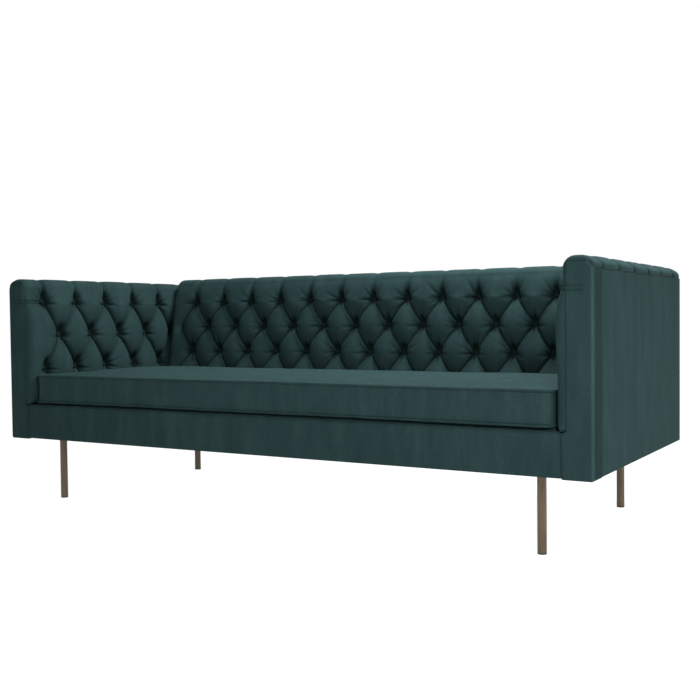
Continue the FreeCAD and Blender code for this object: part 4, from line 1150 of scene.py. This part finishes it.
def cushion_shape():
    """Rings of the slack cover: underside, boxing and a low crown over the top."""
    outline = cushion_outline(seam_inset, 12 * MM)
    rings = []
    for inset, level in (
            (300 * MM, boxing_low - 1 * MM), (120 * MM, boxing_low - 1 * MM), (30 * MM, boxing_low),
            (4 * MM, boxing_low), (2 * MM, boxing_low + 4 * MM), (2 * MM, boxing_high - 4 * MM),
            (4 * MM, boxing_high), (30 * MM, boxing_high + 2 * MM), (120 * MM, boxing_high + 5 * MM),
            (300 * MM, boxing_high + 6 * MM)):
        scale_x = (cushion_high.x - inset) / cushion_high.x
        scale_y = (cushion_half_depth - inset) / cushion_half_depth
        y = cushion_middle + (outline[:, 1] - cushion_middle) * scale_y
        rings.append(grid_of(outline[:, 0] * scale_x, y, level))
    return np.stack(rings)


def make_cushion():
    """The bench cushion."""
    piece = tube_piece("seat_cushion", cushion_shape())
    simulate_cushion(piece)
    on_top = smooth_step(mesh_points(piece.data)[:, 2], boxing_high - 2 * MM, boxing_high + 2 * MM)
    # Painted shade darkens the top panel, and the boxing is painted a little lighter.
    paint_nap_and_light(piece, 0.3 * on_top - 0.13)
    return upholster(piece, "cushion", ["cushion_cover", "cushion_core"])


def draw_to_seams(points, reach=14 * MM):
    """Moves points towards the nearest seam by exp(-(d / reach)^2) of their distance d."""
    outline = cushion_outline(seam_inset, 4 * MM)
    drawn = points.copy()
    for level in (boxing_low, boxing_high):
        near = np.flatnonzero(np.abs(points[:, 2] - level) < 2.5 * reach)
        gap = np.hypot(points[near, None, 0] - outline[:, 0], points[near, None, 1] - outline[:, 1])
        seam = np.column_stack([outline[gap.argmin(axis=1)], np.full(len(near), level)])
        way = seam - points[near]
        drawn[near] += way * np.exp(-(way ** 2).sum(axis=1, keepdims=True) / reach ** 2)
    return drawn


def simulate_cushion(piece, voxel=9 * MM, pressure=4.0, frames=20, most=12 * MM):
    """Cloth with pressure on an even mesh: seams are pinned, and points move no more than most."""
    remesh = piece.modifiers.new("even_mesh", "REMESH")
    remesh.mode = "VOXEL"
    remesh.voxel_size = voxel
    depsgraph = bpy.context.evaluated_depsgraph_get()
    even = bpy.data.meshes.new_from_object(piece.evaluated_get(depsgraph))
    piece.modifiers.clear()
    piece.data = even
    start = mesh_points(even)
    x, y, z = start.T
    to_side = np.minimum(cushion_high.x - np.abs(x), cushion_half_depth - np.abs(y - cushion_middle))
    to_seam = np.minimum(np.abs(z - boxing_low), np.abs(z - boxing_high))
    held = np.flatnonzero((to_seam < 7 * MM) & (to_side < 16 * MM))
    group = piece.vertex_groups.new(name="seams")
    group.add(held.tolist(), 1.0, "REPLACE")
    cloth = piece.modifiers.new("cloth", "CLOTH")
    cloth.settings.use_pressure = True
    cloth.settings.uniform_pressure_force = pressure
    cloth.settings.vertex_group_mass = "seams"
    cloth.settings.effector_weights.gravity = 0.0
    scene = bpy.context.scene
    for number in range(1, frames + 1):
        scene.frame_set(number)
    depsgraph = bpy.context.evaluated_depsgraph_get()
    swollen = mesh_points(piece.evaluated_get(depsgraph).to_mesh())
    piece.evaluated_get(depsgraph).to_mesh_clear()
    piece.modifiers.clear()
    piece.vertex_groups.clear()
    scene.frame_set(1)
    move = swollen - start
    length = np.linalg.norm(move, axis=1, keepdims=True)
    move = move * np.minimum(1, most / np.maximum(length, 1e-9))
    room = 1.5 * MM
    lowest = (cushion_low.x - room, cushion_low.y - 3 * room, deck_top + soft_gap)
    highest = (cushion_high.x + room, cushion_high.y, cushion_high.z + 10 * MM)
    final = np.clip(draw_to_seams(start + move), lowest, highest)
    even.vertices.foreach_set("co", final.astype(np.float32).ravel())
    even.update()
    even.shade_smooth()
    smoother = piece.modifiers.new("smooth", "SUBSURF")
    smoother.levels = smoother.render_levels = 1
    print("cushion moved up to %.1f mm" % (1000 * np.linalg.norm(move, axis=1).max()))


cushion = make_cushion()

# %% [markdown]
# ## Piping
# Piping is a cord sewn into a strip of the same velvet and caught in the seam. It is a ring
# of points carried along the seam's outline, a little uneven, as a hand-fed seam is.

# %% Piping


def make_welt(name, level, node):
    """A ring of radius r carried round the outline: centre + r (cos a, outwards; sin a, upwards)."""
    outline = cushion_outline(1.96 * MM, 6 * MM)
    ahead = np.roll(outline, -1, axis=0) - np.roll(outline, 1, axis=0)
    ahead = ahead / np.linalg.norm(ahead, axis=1, keepdims=True)
    outwards = np.stack([-ahead[:, 1], ahead[:, 0]], axis=1)
    travel = np.cumsum(np.linalg.norm(np.diff(outline, axis=0, append=outline[:1]), axis=1))
    turn = np.linspace(0, 2 * math.pi, 12, endpoint=False)
    radius = welt_radius * (1 + 0.05 * np.sin(travel * 41.0) + 0.03 * np.sin(travel * 97.0 + 1.0))
    sway = 0.5 * MM * np.sin(travel * 7.3 + level * 90)
    reach = radius[:, None] * np.cos(turn)
    grid = grid_of(outline[:, :1] + outwards[:, :1] * reach, outline[:, 1:] + outwards[:, 1:] * reach,
                   level + sway[:, None] + radius[:, None] * np.sin(turn))
    piece = tube_piece(name, np.concatenate([grid, grid[:1]]))
    return upholster(piece, "cushion", [node])


welts = [make_welt("piping_top", boxing_high, "cushion_welt_top"),
         make_welt("piping_bottom", boxing_low + 0.5 * MM, "cushion_welt_bottom")]

# %% [markdown]
# ## Zip
# The cover comes off for washing, so a coil zip is sewn into the rear boxing: two woven tapes
# side by side, and a plastic coil where they meet. One profile across both tapes is carried
# along the zip, and the coil's turns are a wave that is half a turn out between its two sides.
# Real turns are 1.5 mm apart; they are drawn twice as coarse so that they show.

# %% Zip
coil_turn = 3 * MM
coil_half = 2.6 * MM
tape_thick = 0.7 * MM


def make_zip():
    """Tape, plus on the coil (height left) (1 - (v / half)^2)^0.5 (0.75 + 0.25 cos(2 pi u / turn))."""
    low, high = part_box("cushion_zip")
    turns = np.arange(low.x + 0.2 * MM, high.x - 0.2 * MM, coil_turn / 5)
    along = np.concatenate([[low.x], turns, [high.x]])
    half = (high.z - low.z) / 2
    side = np.array([0.0, 0.3, 1.0, 1.8, 2.4, 2.7, 5.0, 8.0, 11.7, 12.0]) / 12 * half
    across = np.concatenate([-side[:0:-1], side])
    phase = np.where(across > 0, 0.0, math.pi)
    wave = 0.75 + 0.25 * np.cos(2 * math.pi * along[:, None] / coil_turn + phase)
    round_top = np.sqrt(np.clip(1 - (across / coil_half) ** 2, 0, 1))
    rise = tape_thick + (high.y - low.y - tape_thick) * round_top * wave
    rise[[0, -1]] = 0
    rise[:, [0, -1]] = 0
    grid = grid_of(along[:, None], low.y + rise, low.z + half + across)
    piece = sheet_piece("cushion_zip_tape", grid, black_cloth)
    return upholster(piece, "cushion", ["cushion_zip"])


zip_tape = make_zip()

# %% [markdown]
# ## Dust cover
# A sheet of black spunbond cloth is stapled under the base and sags a little between its
# staples. Squares are cut out of it round the leg plates.

# %% Dust cover


def make_dust_cover():
    """The sheet under the base, without the squares round the leg plates."""
    low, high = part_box("dust_cover")
    x = np.linspace(low.x, high.x, 210)
    y = np.linspace(low.y, high.y, 92)
    away = np.minimum(np.minimum(x - low.x, high.x - x)[:, None], np.minimum(y - low.y, high.y - y))
    sag = 1.2 * MM * smooth_step(away, 0.0, 0.25)
    points = grid_of(x[:, None], y, high.z - 0.3 * MM - sag).reshape(-1, 3)
    quads = grid_faces(len(x), len(y), False)
    middle = points[quads].mean(axis=1)
    room = 34 * MM
    cut = np.zeros(len(quads), bool)
    for name in ("front_left", "front_right", "rear_left", "rear_right"):
        leg_low, leg_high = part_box("leg_" + name)
        place = ((leg_low.x + leg_high.x) / 2, (leg_low.y + leg_high.y) / 2)
        cut |= (np.abs(middle[:, :2] - place) < room).all(axis=1)
    used, quads = np.unique(quads[~cut], return_inverse=True)
    piece = mesh_piece("dust_sheet", points[used], quads.reshape(-1, 4), material=black_cloth,
                       flip=True)
    upholster(piece, "sofa", ["dust_cover"])
    return piece


dust_sheet = make_dust_cover()

# %% [markdown]
# ## Floor and light
# The picture has a white ground. The floor is a plain pale sheet: rays from the camera see
# mostly a white glow and a little of the lit surface, so the sofa keeps its soft shadow. The
# world gives the same white to the camera and to reflections, and an even grey to everything
# else. Four soft lamps light the sofa: one to the right of the camera, a weaker one beside the
# right arm, a very weak one to the left, and the strongest above.

# %% Floor and light
white = (1.0, 1.0, 1.0, 1.0)


def seen_directly(tree):
    """1 for rays that the camera sends out, mirrored or not, and 0 for those that carry light."""
    path = add(tree, "ShaderNodeLightPath").outputs
    seen = path["Is Camera Ray"]
    for kind in ("Is Glossy Ray", "Is Transmission Ray"):
        either = add(tree, "ShaderNodeMath", {0: seen, 1: path[kind]}, operation="MAXIMUM")
        seen = either.outputs["Value"]
    return seen


def make_floor():
    """A large pale sheet that glows white for the camera."""
    material, tree, surface = new_material("pale_floor")
    lit = add(tree, "ShaderNodeBsdfDiffuse", {"Color": linear("#f2f2f2")})
    glow = add(tree, "ShaderNodeEmission", {"Color": white, "Strength": 1.2})
    share = add(tree, "ShaderNodeMath", {0: seen_directly(tree), 1: 0.82}, operation="MULTIPLY")
    mixed = add(tree, "ShaderNodeMixShader", {
        "Fac": share.outputs["Value"], 1: lit.outputs["BSDF"], 2: glow.outputs["Emission"]})
    tree.links.new(mixed.outputs["Shader"], surface)
    reach = 30.0
    points = reach * np.array([[-1, -1, 0], [1, -1, 0], [1, 1, 0], [-1, 1, 0]])
    floor = mesh_piece("floor", points, np.array([[0, 1, 2, 3]]), material=material)
    return floor


def make_world():
    """An even grey light that the camera sees as white."""
    world = bpy.data.worlds.new("studio")
    world.use_nodes = True
    bpy.context.scene.world = world
    tree = world.node_tree
    tree.nodes.clear()
    strength = add(tree, "ShaderNodeMapRange", {
        "Value": seen_directly(tree), "To Min": 0.28, "To Max": 1.0})
    ground = add(tree, "ShaderNodeBackground", {
        "Color": white, "Strength": strength.outputs["Result"]})
    add(tree, "ShaderNodeOutputWorld", {"Surface": ground.outputs["Background"]})


def make_lamp(name, place, target, size, power):
    """A square soft lamp at place that faces target."""
    lamp = bpy.data.lights.new(name, "AREA")
    lamp.size = size
    lamp.energy = power
    made = bpy.data.objects.new(name, lamp)
    bpy.context.scene.collection.objects.link(made)
    back = np.array(place, float) - np.array(target, float)
    back = back / np.linalg.norm(back)
    right = np.cross([0.0, 0.0, 1.0], back)
    right = right / np.linalg.norm(right)
    matrix = np.eye(4)
    matrix[:3, :3] = np.stack([right, np.cross(back, right), back], axis=1)
    matrix[:3, 3] = place
    made.matrix_world = Matrix(matrix.tolist())
    return made


floor = make_floor()
make_world()
make_lamp("right_softbox", (2.1, -2.3, 1.6), (0.4, 0.0, 0.4), 0.9, 38.0)
make_lamp("side_softbox", (3.2, 0.2, 0.5), (1.0, 0.0, 0.5), 0.9, 10.0)
make_lamp("left_softbox", (-3.2, -3.4, 2.2), (-0.3, 0.0, 0.4), 2.4, 1.0)
make_lamp("top_softbox", (0.7, 0.45, 2.6), (0.4, 0.05, 0.4), 0.8, 82.0)
bpy.context.scene.view_settings.view_transform = "Standard"
